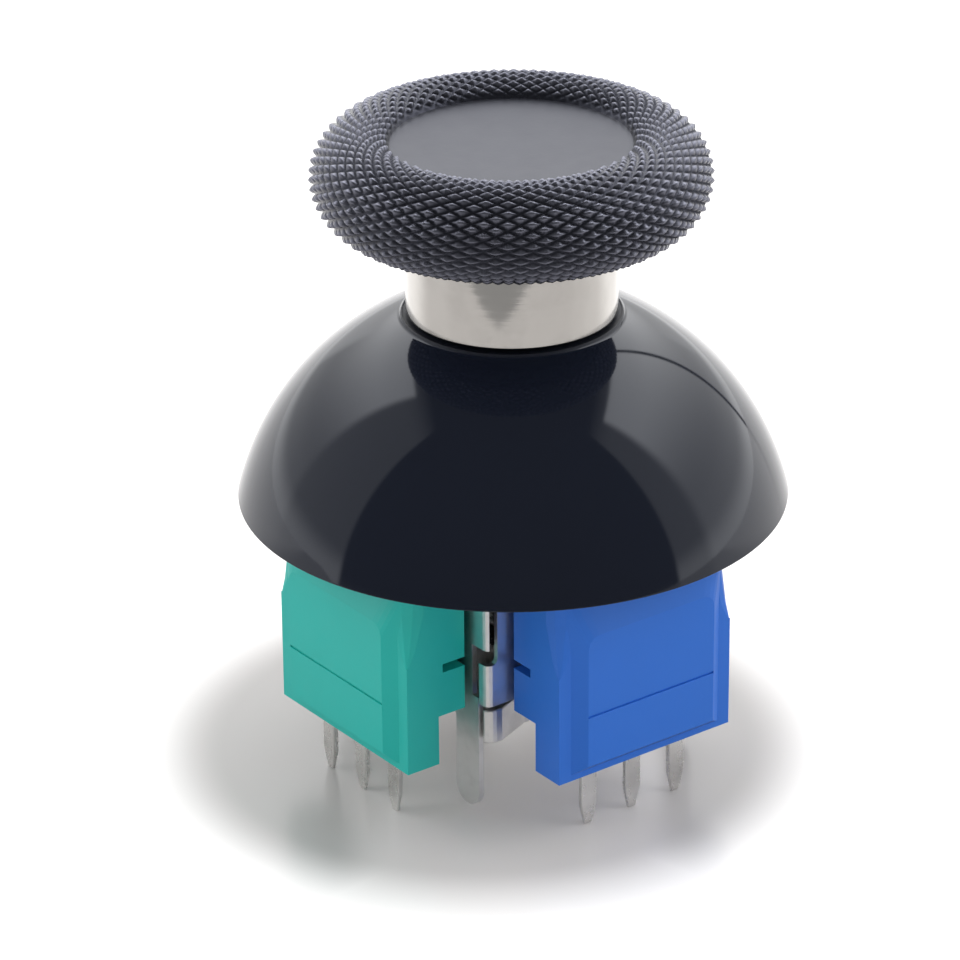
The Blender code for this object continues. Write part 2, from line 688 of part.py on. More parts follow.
def corner_relief(can, turn, quarter):
    """Slot, window and gap of the corner between the wall at +X and the one at -Y."""
    slot_start = CORNER_TAB - CAN_HALF
    slot_end = slot_start + CORNER_SLOT
    out = CAN_HALF + CUT_PAST
    strip_end = CAN_HALF - STRIP_SETBACK
    slot_top = CAN_TOP_Z - CAN_BEND - SHEET
    number = "_" + str(quarter)
    window = [(-out, WINDOW_HIGH_Z), (-out, WINDOW_LOW_Z)]
    window += arc((slot_end - WINDOW_CORNER_R, WINDOW_LOW_Z + WINDOW_CORNER_R), WINDOW_CORNER_R,
                  -90.0, 0.0, CORNER_STEPS)
    window += [(slot_end, WINDOW_HIGH_Z)]
    reliefs = (
        box_mesh("corner_slot" + number,
                 (CAN_HALF - CAN_BEND - TUCK, slot_start, WINDOW_LOW_Z + WINDOW_CORNER_R),
                 (out, slot_end, slot_top)),
        plate_mesh("corner_window" + number, [window], strip_end, out, ALONG_X),
        box_mesh("corner_gap" + number, (strip_end, -out, CAN_FOOT_Z - CUT_PAST),
                 (CAN_HALF - CORNER_WRAP, CUT_PAST - CAN_HALF, WINDOW_LOW_Z + OVERLAP)))
    for mesh in reliefs:
        mesh.transform(turn)
        cut(can, mesh)


def leg_span():
    """Where a leg starts and ends along its wall, from the can's middle."""
    end = CAN_HALF - LEG_SETBACK
    return end - LEG_WIDE, end


def can_leg(can, side, end):
    """Flat leg with a round tip, below the wall at -Y or +Y."""
    middle = end * sum(leg_span()) / 2.0
    radius = LEG_WIDE / 2.0
    top = CAN_FOOT_Z + SHEET
    outline = arc((middle, LEG_TIP_Z + radius), radius, 180.0, 360.0, LEG_TIP_STEPS)
    outline += [(middle + radius, top), (middle - radius, top)]
    low, high = sorted((-side * CAN_HALF, -side * (CAN_HALF - SHEET)))
    name = "leg_" + ("back" if side > 0 else "front") + ("_right" if end > 0 else "_left")
    join(can, plate_mesh(name, [outline], low, high, ALONG_Y))


def crimp_tab(can, side):
    """Tab from the wall at -Y or +Y, folded under the base plate."""
    wall_out = CAN_HALF - TUCK
    wall_in = CAN_HALF - SHEET
    low = BASE_Z - RUNNING_GAP - SHEET
    reach = BASE_SIDE - CRIMP_REACH
    outline = [(wall_in, CAN_FOOT_Z + SHEET), (wall_in, low + SHEET), (reach, low + SHEET),
               (reach, low), (wall_out, low), (wall_out, CAN_FOOT_Z + SHEET)]
    outline = [(side * y, z) for y, z in outline]
    name = "crimp_" + ("back" if side > 0 else "front")
    join(can, plate_mesh(name, [outline], -CRIMP_HALF, CRIMP_HALF, ALONG_X))


def base_plate(skin):
    """Moulded base with lobed corners, a floor, a rim and a pad that stands on the board."""
    quarter = [(BASE_SIDE, BASE_WAIST), (BASE_CORNER, BASE_CORNER - BASE_LOBE)]
    centre = BASE_CORNER - BASE_CORNER_R
    quarter += arc((centre, centre), BASE_CORNER_R, 0.0, 90.0, BASE_CORNER_STEPS)
    quarter += [(BASE_CORNER - BASE_LOBE, BASE_CORNER), (BASE_WAIST, BASE_SIDE)]
    outline = []
    for turn in range(4):
        angle = math.radians(90.0 * turn)
        for u, v in quarter:
            outline.append((u * math.cos(angle) - v * math.sin(angle),
                            u * math.sin(angle) + v * math.cos(angle)))
    top = CAN_FOOT_Z - RUNNING_GAP
    base = put("base_plate", plate_mesh("base_plate", [outline], BASE_Z, top))
    hollow = BASE_SIDE - BASE_RIM
    floor_z = BASE_Z + BASE_FLOOR
    cut(base, box_mesh("hollow", (-hollow, -hollow, floor_z), (hollow, hollow, top + CUT_PAST)))
    join(base, box_mesh("pad", (-PAD_HALF, -PAD_HALF, BOARD_Z),
                        (PAD_HALF, PAD_HALF, BASE_Z + OVERLAP)))
    start, finish_x = leg_span()
    notch = CAN_HALF - SHEET - CLOSE_GAP
    for side in (-1.0, 1.0):
        for end in (-1.0, 1.0):
            xs = sorted((end * (start - CLOSE_GAP), end * (finish_x + CLOSE_GAP)))
            ys = sorted((side * notch, side * (BASE_CORNER + CUT_PAST)))
            name = "leg_notch_" + ("back" if side > 0 else "front") + str(int(end))
            cut(base, box_mesh(name, (xs[0], ys[0], BASE_Z - CUT_PAST),
                               (xs[1], ys[1], top + CUT_PAST)))
    return finish(base, skin, smooth=False)


def sensor_cover(name, parent, skin, reach):
    """Moulded cover, open to the can, with a raised sloped panel on its face."""
    start = ROTOR_START
    cover = put(name, cover_upper_mesh(name, reach), parent=parent)
    join(cover, box_mesh("middle", (start, -COVER_HALF, COVER_STEP_Z),
                         (reach, COVER_HALF, COVER_SHOULDER_Z)))
    join(cover, box_mesh("skirt", (reach - COVER_SKIRT, -COVER_HALF, BOARD_Z),
                         (reach, COVER_HALF, COVER_STEP_Z + OVERLAP)))
    join(cover, panel_mesh(reach))
    cavity = SENSOR_BOARD_HALF + RUNNING_GAP
    cut(cover, box_mesh("cavity", (start - CUT_PAST, -cavity, COVER_STEP_Z + COVER_WALL / 2.0),
                        (reach - COVER_FACE, cavity, COVER_TOP_Z - COVER_WALL)))
    cut(cover, box_mesh("groove", (reach + PANEL_RAISE - GROOVE_DEEP, -PANEL_HALF, GROOVE_Z),
                        (reach + PANEL_RAISE + CUT_PAST, PANEL_HALF, GROOVE_Z + GROOVE_WIDE)))
    cut(cover, box_mesh("latch_slots", (start - CUT_PAST, -COVER_HALF - CUT_PAST, LATCH_LOW_Z),
                        (start + LATCH_LONG, COVER_HALF + CUT_PAST, LATCH_LOW_Z + LATCH_HIGH)))
    pin_at = reach - PIN_SETBACK
    hole_thick = PIN_THICK / 2.0 + CLOSE_GAP
    hole_wide = PIN_WIDE / 2.0 + CLOSE_GAP
    for index in (-1, 0, 1):
        middle = index * PIN_PITCH
        cut(cover, box_mesh("pin_hole_" + str(index + 2),
                            (pin_at - hole_thick, middle - hole_wide, BOARD_Z - CUT_PAST),
                            (pin_at + hole_thick, middle + hole_wide, PIN_TOP_Z + CLOSE_GAP)))
    return finish(cover, skin, smooth=False)


def cover_upper_mesh(name, reach):
    """Upper block of a cover; its two outer upright edges get rounder from the shoulder up."""
    corner = COVER_HALF - COVER_CORNER_R
    middle = reach - COVER_CORNER_R
    outline = [(ROTOR_START, -COVER_HALF)]
    outline += arc((middle, -corner), COVER_CORNER_R, -90.0, 0.0, CORNER_STEPS)
    outline += arc((middle, corner), COVER_CORNER_R, 0.0, 90.0, CORNER_STEPS)
    outline += [(ROTOR_START, COVER_HALF)]
    mesh = plate_mesh(name, [outline], COVER_STEP_Z + OVERLAP, COVER_TOP_Z)
    bm = bmesh.new()
    bm.from_mesh(mesh)
    for height in (COVER_SHOULDER_Z, COVER_SLOPE_Z, COVER_CORNER_Z):
        bmesh.ops.bisect_plane(bm, geom=bm.verts[:] + bm.edges[:] + bm.faces[:],
                               plane_co=(0.0, 0.0, height), plane_no=Z_AXIS)
    for vertex in bm.verts:
        if vertex.co.x > middle - TUCK:
            share = corner_radius(vertex.co.z) / COVER_CORNER_R
            side = math.copysign(1.0, vertex.co.y)
            vertex.co.x = reach + (vertex.co.x - reach) * share
            vertex.co.y = side * COVER_HALF + (vertex.co.y - side * COVER_HALF) * share
    bm.to_mesh(mesh)
    bm.free()
    return mesh


def corner_radius(height):
    """Radius of a cover's outer upright edges in the ring of points at a height."""
    if height < COVER_SHOULDER_Z + TUCK:
        return COVER_SHOULDER_R
    if height < COVER_SLOPE_Z + TUCK:
        return COVER_SLOPE_R
    return COVER_CORNER_R


def panel_mesh(reach):
    """Raised panel: a face with two rounded corners, lofted back to a wider, taller foot."""
    sunk = reach - OVERLAP / 2.0
    face = reach + PANEL_RAISE
    corner = PANEL_HALF - PANEL_CORNER_R
    level = PANEL_HIGH_Z - PANEL_CORNER_R
    outline = [(-PANEL_HALF, PANEL_LOW_Z), (PANEL_HALF, PANEL_LOW_Z)]
    outline += arc((corner, level), PANEL_CORNER_R, 0.0, 90.0, CORNER_STEPS)
    outline += arc((-corner, level), PANEL_CORNER_R, 90.0, 180.0, CORNER_STEPS)
    mesh = plate_mesh("panel", [outline], sunk, face, ALONG_X)
    for vertex in mesh.vertices:
        if vertex.co.x < (sunk + face) / 2.0:
            vertex.co.y *= 1.0 + PANEL_SLOPE / PANEL_HALF
            vertex.co.z += PANEL_HIGH_SLOPE if vertex.co.z > GROOVE_Z else -PANEL_LOW_SLOPE
    return mesh


def sensor_rotor(name, parent, skin):
    """Wheel with a hub that runs in the can's wall, a tang slot and a magnet pocket."""
    end = ROTOR_START + ROTOR_THICK
    axis = PIVOT
    origin = axis + X_AXIS * ROTOR_START
    rotor = put(name, rod_mesh(name, ROTOR_R, origin, axis + X_AXIS * end, DOME_STEPS // 2),
                parent=parent, origin=origin)
    join(rotor, rod_mesh("hub", ROTOR_HUB_R, axis + X_AXIS * ROTOR_HUB_START,
                         axis + X_AXIS * (ROTOR_START + OVERLAP)))
    half_wide, half_thick = TANG_WIDE / 2.0 + CLOSE_GAP, TANG_THICK / 2.0 + CLOSE_GAP
    cut(rotor, box_mesh("tang_slot", (ROTOR_HUB_START - CUT_PAST, -half_thick,
                                      PIVOT_Z - half_wide),
                        (TANG_END + CLOSE_GAP, half_thick, PIVOT_Z + half_wide)))
    pocket_deep = MAGNET_THICK + CLOSE_GAP
    cut(rotor, rod_mesh("magnet_pocket", MAGNET_R + CLOSE_GAP,
                        axis + X_AXIS * (end - pocket_deep), axis + X_AXIS * (end + CUT_PAST)))
    return finish(rotor, skin)


def sensor_magnet(name, parent, skin):
    end = ROTOR_START + ROTOR_THICK
    start = PIVOT + X_AXIS * (end - MAGNET_THICK)
    mesh = rod_mesh(name, MAGNET_R, start, PIVOT + X_AXIS * end)
    return finish(put(name, mesh, parent=parent, origin=start), skin)


def sensor_board(name, parent, skin, reach):
    out = reach - COVER_FACE - RUNNING_GAP
    mesh = box_mesh(name, (out - SENSOR_BOARD_THICK, -SENSOR_BOARD_HALF,
                           COVER_STEP_Z + COVER_WALL),
                    (out, SENSOR_BOARD_HALF, SENSOR_BOARD_TOP_Z - CLOSE_GAP))
    return finish(put(name, mesh, parent=parent), skin, smooth=False)


def sensor_chip(name, parent, skin, reach):
    out = reach - COVER_FACE - RUNNING_GAP - SENSOR_BOARD_THICK - CLOSE_GAP
    mesh = box_mesh(name, (out - CHIP_THICK, -CHIP_WIDE_HALF, PIVOT_Z - CHIP_HIGH_HALF),
                    (out, CHIP_WIDE_HALF, PIVOT_Z + CHIP_HIGH_HALF))
    return finish(put(name, mesh, parent=parent), skin, smooth=False)


def flat_pin(name, parent, skin, centre, wide, thick, top):
    """Flat pin with a tapered tip on the floor; centre is (x, y) in the parent's space."""
    x, y = centre
    mesh = box_mesh(name, (x - thick / 2.0, y - wide / 2.0, 0.0),
                    (x + thick / 2.0, y + wide / 2.0, top))
    bm = bmesh.new()
    bm.from_mesh(mesh)
    bmesh.ops.bisect_plane(bm, geom=bm.verts[:] + bm.edges[:] + bm.faces[:],
                           plane_co=(0.0, 0.0, PIN_TAPER), plane_no=Z_AXIS)
    for vertex in bm.verts:
        if vertex.co.z < PIN_TAPER / 2.0:
            vertex.co.x = x + (vertex.co.x - x) * PIN_TIP_SHARE
            vertex.co.y = y + (vertex.co.y - y) * PIN_TIP_SHARE
    bm.to_mesh(mesh)
    bm.free()
    return finish(put(name, mesh, parent=parent), skin, smooth=False)


def sensor(prefix, parent, reach, skins):
    """Cover, board, chip, pins, rotor and magnet of one angle sensor, along local +X."""
    sensor_cover(prefix + "_cover", parent, skins[prefix], reach)
    sensor_board(prefix + "_board", parent, skins["board"], reach)
    sensor_chip(prefix + "_chip", parent, skins["chip"], reach)
    sensor_rotor(prefix + "_rotor", parent, skins["white"])
    sensor_magnet(prefix + "_magnet", parent, skins["magnet"])
    for index in range(3):
        place = (reach - PIN_SETBACK, (index - 1) * PIN_PITCH)
        flat_pin(prefix + "_pin_" + str(index + 1), parent, skins["pin"], place, PIN_WIDE,
                 PIN_THICK, PIN_TOP_Z)


def switch_body(parent, skin):
    """Housing with a round well, standing on the board; drawn along local +X."""
    end = SWITCH_START + SWITCH_DEEP
    body = put("switch_body", box_mesh("switch_body", (SWITCH_START, -SWITCH_HALF, BOARD_Z),
                                       (end, SWITCH_HALF, SWITCH_TOP_Z)), parent=parent)
    centre_x = SWITCH_START + SWITCH_DEEP / 2.0
    cut(body, rod_mesh("well", SWITCH_WELL_R, (centre_x, 0.0, SWITCH_WELL_FLOOR_Z),
                       (centre_x, 0.0, SWITCH_TOP_Z + CUT_PAST)))
    for index, place in enumerate(switch_pin_places()):
        half_thick = PIN_THICK / 2.0 + CLOSE_GAP
        half_wide = SWITCH_PIN_WIDE / 2.0 + CLOSE_GAP
        cut(body, box_mesh("pin_hole_" + str(index + 1),
                           (place[0] - half_thick, place[1] - half_wide, BOARD_Z - CUT_PAST),
                           (place[0] + half_thick, place[1] + half_wide,
                            SWITCH_PIN_TOP_Z + CLOSE_GAP)))
    return finish(body, skin, smooth=False)


def switch_pin_places():
    inset = PIN_THICK + 2.0 * CLOSE_GAP
    near, far = SWITCH_START + inset, SWITCH_START + SWITCH_DEEP - inset
    places = []
    for x in (near, far):
        for side in (-1.0, 1.0):
            places.append((x, side * SWITCH_PIN_HALF_PITCH))
    return places


def switch_snap(parent, skin):
    """Shallow sprung disc under the plunger."""
    radius = SWITCH_WELL_R - CLOSE_GAP
    low = SWITCH_WELL_FLOOR_Z + CLOSE_GAP
    top = low + SNAP_THICK + SNAP_RISE
    profile = [(0.0, top), (radius / 2.0, top - SNAP_RISE / 4.0), (radius, low + SNAP_THICK),
               (radius, low), (radius / 2.0, top - SNAP_THICK - SNAP_RISE / 4.0),
               (0.0, top - SNAP_THICK)]
    mesh = turned_mesh("switch_snap", profile)
    mesh.transform(Matrix.Translation((SWITCH_START + SWITCH_DEEP / 2.0, 0.0, 0.0)))
    return finish(put("switch_snap", mesh, parent=parent), skin)


def switch_plunger(parent, skin):
    """Button under the lower rocker's far arm."""
    top = PIVOT_Z - ROCKER_ARM_R - CLOSE_GAP
    flange_top = PLUNGER_FOOT_Z + PLUNGER_FLANGE_THICK
    profile = [(0.0, top), (PLUNGER_R - CLOSE_GAP, top), (PLUNGER_R, top - CLOSE_GAP),
               (PLUNGER_R, flange_top), (PLUNGER_FLANGE_R, flange_top),
               (PLUNGER_FLANGE_R, PLUNGER_FOOT_Z), (0.0, PLUNGER_FOOT_Z)]
    mesh = turned_mesh("switch_plunger", profile)
    centre = Vector((SWITCH_START + SWITCH_DEEP / 2.0, 0.0, 0.0))
    mesh.transform(Matrix.Translation(centre))
    return finish(put("switch_plunger", mesh, parent=parent, origin=centre), skin)


def switch_cover(parent, skin):
    """Folded sheet over the switch, with flaps down both ends and the button's hole."""
    low, high = SWITCH_TOP_Z + CLOSE_GAP, SWITCH_TOP_Z + CLOSE_GAP + SWITCH_SHEET
    inner = SWITCH_HALF + CLOSE_GAP
    outer = inner + SWITCH_SHEET
    outline = [(-outer, SWITCH_FLAP_Z), (-outer, high), (outer, high), (outer, SWITCH_FLAP_Z),
               (inner, SWITCH_FLAP_Z), (inner, low), (-inner, low), (-inner, SWITCH_FLAP_Z)]
    start, end = SWITCH_START + CLOSE_GAP, SWITCH_START + SWITCH_DEEP - CLOSE_GAP
    sheet = put("switch_cover", plate_mesh("switch_cover", [outline], start, end, ALONG_X),
                parent=parent)
    centre_x = SWITCH_START + SWITCH_DEEP / 2.0
    cut(sheet, rod_mesh("button_hole", PLUNGER_R + CLOSE_GAP, (centre_x, 0.0, low - CUT_PAST),
                        (centre_x, 0.0, high + CUT_PAST)))
    return finish(sheet, skin)


def click_switch(parent, skins):
    switch_body(parent, skins["black"])
    switch_snap(parent, skins["steel"])
    switch_plunger(parent, skins["white"])
    switch_cover(parent, skins["steel"])
    for index, place in enumerate(switch_pin_places()):
        flat_pin("switch_pin_" + str(index + 1), parent, skins["pin"], place, SWITCH_PIN_WIDE,
                 PIN_THICK, SWITCH_PIN_TOP_Z)


def make_skins():
    return {
        "cap": material("cap_rubber", (0.06, 0.06, 0.075), 0.55),
        "dome": material("dome_gloss_black", (0.012, 0.013, 0.018), 0.08),
        "ring": material("ring_turned_metal", (0.72, 0.69, 0.66), 0.3, 1.0),
        "steel": material("stamped_steel", (0.6, 0.6, 0.6), 0.2, 1.0),
        "pin": material("tinned_pin", (0.62, 0.6, 0.58), 0.25, 1.0),
        "front": material("front_cover_green", (0.05, 0.45, 0.38), 0.4),
        "right": material("right_cover_blue", (0.03, 0.13, 0.62), 0.4),
        "black": material("moulded_black", (0.02, 0.02, 0.022), 0.5),
        "grey": material("moulded_grey", (0.45, 0.45, 0.44), 0.5),
        "white": material("moulded_white", (0.75, 0.75, 0.72), 0.45),
        "board": material("circuit_board", (0.03, 0.2, 0.08), 0.4),
        "chip": material("chip_resin", (0.02, 0.02, 0.02), 0.45),
        "magnet": material("magnet_plated", (0.5, 0.5, 0.52), 0.3, 1.0),
    }


def main():
    clear_scene()
    skins = make_skins()
    frame_can(skins["steel"])
    base_plate(skins["steel"])

    right_side = pivot_empty("right_side", ON_FLOOR)
    front_side = pivot_empty("front_side", ON_FLOOR, -90.0)
    switch_side = pivot_empty("switch_side", ON_FLOOR, 180.0)
    sensor("right", right_side, RIGHT_REACH, skins)
    sensor("front", front_side, FRONT_REACH, skins)
    click_switch(switch_side, skins)

    lower_rocker(right_side, skins["black"])
    lever_pin(right_side, skins["steel"])
    upper_rocker(front_side, skins["grey"])

    stick = pivot_empty("stick", ON_FLOOR)
    lever(stick, skins["white"])
    return_spring(stick, skins["steel"])
    spring_dish(stick, skins["black"])
    stick_dome(stick, skins["dome"])
    wear_ring(stick, skins["ring"])
    thumb_cap(stick, skins["cap"])


main()
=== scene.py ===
"""Looks of a controller's thumb stick module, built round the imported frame.

The cap's rim and disc, the dome, the ring and the spring are surfaces worked out with numpy.
The other pieces are the frame's own, with rounded edges where they show and a finish each.
"""

import math

import bpy
import numpy as np
from mathutils import Matrix, Vector


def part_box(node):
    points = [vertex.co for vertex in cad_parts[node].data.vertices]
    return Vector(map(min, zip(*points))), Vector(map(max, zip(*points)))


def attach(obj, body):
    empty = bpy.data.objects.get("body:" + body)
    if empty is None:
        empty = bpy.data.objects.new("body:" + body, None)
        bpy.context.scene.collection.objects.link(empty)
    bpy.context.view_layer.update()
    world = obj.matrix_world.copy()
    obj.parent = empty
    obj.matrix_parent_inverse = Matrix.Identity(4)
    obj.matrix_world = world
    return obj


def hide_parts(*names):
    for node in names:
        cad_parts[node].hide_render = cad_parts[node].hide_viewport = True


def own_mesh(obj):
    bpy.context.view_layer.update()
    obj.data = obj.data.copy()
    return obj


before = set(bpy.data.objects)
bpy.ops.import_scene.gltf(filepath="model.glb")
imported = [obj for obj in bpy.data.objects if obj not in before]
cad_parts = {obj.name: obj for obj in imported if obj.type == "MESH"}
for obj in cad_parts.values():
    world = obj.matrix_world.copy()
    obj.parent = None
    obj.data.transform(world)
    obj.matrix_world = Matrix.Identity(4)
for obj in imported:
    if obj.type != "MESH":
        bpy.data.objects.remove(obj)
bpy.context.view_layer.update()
CAP_TOP_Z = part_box("thumb_cap")[1].z

MM = 0.001

# Camera at the photograph's place, in a frame of 960 by 960
CAMERA_PLACE = (156.57 * MM, -118.31 * MM, 106.88 * MM)
CAMERA_YAW_DEG = 53.36
CAMERA_PITCH_DEG = -25.56
CAMERA_ROLL_DEG = -0.49
CAMERA_LENS = 180.0
CAMERA_SENSOR = 36.0
CAMERA_REACH = 10.0

# Turned and knurled pieces
STICK_BODY = "lever"
ROUND_COLUMNS = 224
ON_AXIS = 1e-9
KNURLS_PER_ROW = 52
KNURL_ROWS = 36
KNURL_CELLS = 4
KNURL_DEEP = 0.24 * MM
KNURL_FADE_ROWS = 1.5
KNURL_CROWN = 0.6
TUBE_CENTRE_R = 6.7 * MM
TUBE_R = 2.25 * MM
TUBE_Z = CAP_TOP_Z - TUBE_R
KNURL_START_DEG = 130.0
KNURL_END_DEG = -108.0
UNDER_EDGE = (5.9 * MM, 25.75 * MM)
UNDER_STEP_R = 5.6 * MM
UNDER_INNER_R = 4.5 * MM
UNDER_Z = 26.3 * MM
UNDER_ROUND = 0.2 * MM
LID_R = 5.1 * MM
LID_DROP = 0.4 * MM
DISC_DISH = 0.06 * MM
DISC_STEPS = 24
DISC_MARGIN = 0.1 * MM
DISC_SINK = 0.05 * MM
DISC_EDGE_SINK = 0.06 * MM
DISC_THICK = 0.5 * MM
DISC_ROUND = 0.08 * MM
DISC_LEVEL_Z = TUBE_Z + (TUBE_R - KNURL_DEEP) * math.sin(math.radians(KNURL_START_DEG))
PIVOT_Z = 9.45 * MM
DOME_R = 12.87 * MM
DOME_WALL = 0.92 * MM
DOME_RIM_Z = 12.65 * MM
DOME_STEPS = 72
DOME_RIM_ROUND = 0.12 * MM
DOME_RIM_DEEP = 0.1 * MM
INNER_STEPS = 24
SOCKET_WIDE_R = 3.0 * MM
SOCKET_R = 2.7 * MM
SOCKET_STEP = 0.3 * MM
SOCKET_END_Z = 16.3 * MM
SHAFT_BORE_R = 1.7 * MM
SHAFT_BORE_END_Z = 23.5 * MM
SOCKET_ROUND = 0.1 * MM
JOIN = 0.02 * MM
RING_R = 4.75 * MM
RING_WALL = 0.4 * MM
NECK_TOP_Z = 27.1 * MM
RING_LOW_Z = 21.55 * MM
RING_HIGH_Z = 25.9 * MM
RING_ROUND = 0.1 * MM
CLOSE_GAP = 0.15 * MM
RUNNING_GAP = 0.3 * MM
NECK_R = RING_R - RING_WALL - RUNNING_GAP
LIP_WIDE = 0.06 * MM
LIP_FLARE = 0.02 * MM
LIP_HIGH = 0.04 * MM
LIP_END_R = RING_R + CLOSE_GAP + LIP_WIDE + LIP_FLARE

# Return spring between the lever's flange and its sliding dish
WIRE_R = 0.16 * MM
COIL_R = 1.27 * MM
COIL_TURNS = 4
COIL_STEPS = 32
COIL_SIDES = 10


# Node building


class Graph:
    """Short way to add nodes to a tree and join their sockets."""

    def __init__(self, tree):
        self.tree = tree

    def add(self, kind, inputs=None, **settings):
        node = self.tree.nodes.new(kind)
        for key, value in settings.items():
            setattr(node, key, value)
        for key, value in (inputs or {}).items():
            self.feed(value, node.inputs[key])
        return node

    def feed(self, value, socket):
        if isinstance(value, bpy.types.NodeSocket):
            self.tree.links.new(value, socket)
        else:
            socket.default_value = value

    def math(self, operation, first, second=0.0):
        return self.add("ShaderNodeMath", {0: first, 1: second}, operation=operation).outputs[0]

    def ramp(self, value, low, high, to_low=0.0, to_high=1.0):
        """Smooth step of a value from one range to another."""
        node = self.add("ShaderNodeMapRange", {"Value": value, "From Min": low, "From Max": high,
                                               "To Min": to_low, "To Max": to_high},
                        interpolation_type="SMOOTHSTEP")
        return node.outputs["Result"]

    def noise(self, place, scale, detail=3.0, roughness=0.55):
        node = self.add("ShaderNodeTexNoise", {"Vector": place, "Scale": scale, "Detail": detail,
                                               "Roughness": roughness})
        return node.outputs["Fac"]

    def place(self):
        return self.add("ShaderNodeTexCoord").outputs["Object"]

    def bump(self, height, distance):
        node = self.add("ShaderNodeBump", {"Height": height, "Distance": distance,
                                           "Strength": 1.0})
        return node.outputs["Normal"]


def node_group(name, inputs, outputs):
    """Empty shader group with its sockets; returns the group, its graph and both ends."""
    tree = bpy.data.node_groups.new(name, "ShaderNodeTree")
    for label, kind, value in inputs:
        socket = tree.interface.new_socket(name=label, in_out="INPUT", socket_type=kind)
        socket.default_value = value
    for label, kind in outputs:
        tree.interface.new_socket(name=label, in_out="OUTPUT", socket_type=kind)
    graph = Graph(tree)
    return tree, graph, graph.add("NodeGroupInput"), graph.add("NodeGroupOutput")


CREST = "crest"
# Knurl heights between which the painted shade in the grooves goes over to the crests' own colour
GROOVE_SHADE_END = 0.2
CREST_START = 0.85
DULL_FADE = 0.02 * MM
FLOAT = "NodeSocketFloat"
COLOUR = "NodeSocketColor"
VECTOR = "NodeSocketVector"


def make_moulded_skin():
    """Group: mottled colour, uneven gloss and fine grain of a moulded plastic."""
    tree, g, given, out = node_group(
        "moulded_skin",
        (("Colour", COLOUR, (0.5, 0.5, 0.5, 1.0)), ("Mottle", FLOAT, 0.06),
         ("Roughness", FLOAT, 0.4), ("Unevenness", FLOAT, 0.08), ("Grain Scale", FLOAT, 9000.0),
         ("Grain Depth", FLOAT, 0.000004)),
        (("Colour", COLOUR), ("Roughness", FLOAT), ("Normal", VECTOR)))
    place = g.place()
    cloudy = g.noise(place, 420.0, 4.0)
    value = g.add("ShaderNodeMath", {0: g.math("SUBTRACT", cloudy, 0.5),
                                     1: given.outputs["Mottle"], 2: 1.0},
                  operation="MULTIPLY_ADD").outputs[0]
    tinted = g.add("ShaderNodeHueSaturation", {"Value": value, "Color": given.outputs["Colour"]})
    g.feed(tinted.outputs["Color"], out.inputs["Colour"])
    patchy = g.noise(place, 1100.0, 5.0)
    uneven = g.math("MULTIPLY", g.math("SUBTRACT", patchy, 0.5), given.outputs["Unevenness"])
    g.feed(g.math("ADD", given.outputs["Roughness"], uneven), out.inputs["Roughness"])
    grain = g.noise(place, given.outputs["Grain Scale"], 2.0)
    bump = g.bump(grain, given.outputs["Grain Depth"])
    g.feed(bump, out.inputs["Normal"])
    return tree


def make_metal_skin():
    """Group: drawn lines along one direction, scuffs and faint stains of a bare metal."""
    tree, g, given, out = node_group(
        "metal_skin",
        (("Colour", COLOUR, (0.7, 0.7, 0.7, 1.0)), ("Stain", FLOAT, 0.1),
         ("Roughness", FLOAT, 0.2), ("Scuffs", FLOAT, 0.1),
         ("Line Scale", VECTOR, (200.0, 200.0, 9000.0)), ("Line Depth", FLOAT, 0.000001)),
        (("Colour", COLOUR), ("Roughness", FLOAT), ("Normal", VECTOR)))
    place = g.place()
    lines_place = g.add("ShaderNodeMapping", {"Vector": place,
                                              "Scale": given.outputs["Line Scale"]})
    lines = g.noise(lines_place.outputs["Vector"], 1.0, 3.0, 0.6)
    cloudy = g.noise(place, 650.0, 4.0)
    dulled = g.math("MULTIPLY", g.ramp(cloudy, 0.45, 0.75), given.outputs["Stain"])
    shade = g.math("SUBTRACT", 1.0, dulled)
    tinted = g.add("ShaderNodeHueSaturation", {"Value": shade, "Color": given.outputs["Colour"]})
    g.feed(tinted.outputs["Color"], out.inputs["Colour"])
    rubbed = g.math("MULTIPLY", g.ramp(g.noise(place, 2600.0, 6.0, 0.7), 0.45, 0.8),
                    given.outputs["Scuffs"])
    lined = g.math("MULTIPLY", lines, given.outputs["Scuffs"])
    rough = g.math("ADD", given.outputs["Roughness"], g.math("ADD", rubbed, lined))
    g.feed(rough, out.inputs["Roughness"])
    g.feed(g.bump(lines, given.outputs["Line Depth"]), out.inputs["Normal"])
    return tree


MOULDED_SKIN = make_moulded_skin()
METAL_SKIN = make_metal_skin()


def new_material(name):
    made = bpy.data.materials.new(name)
    made.use_nodes = True
    graph = Graph(made.node_tree)
    return made, graph, made.node_tree.nodes["Principled BSDF"]


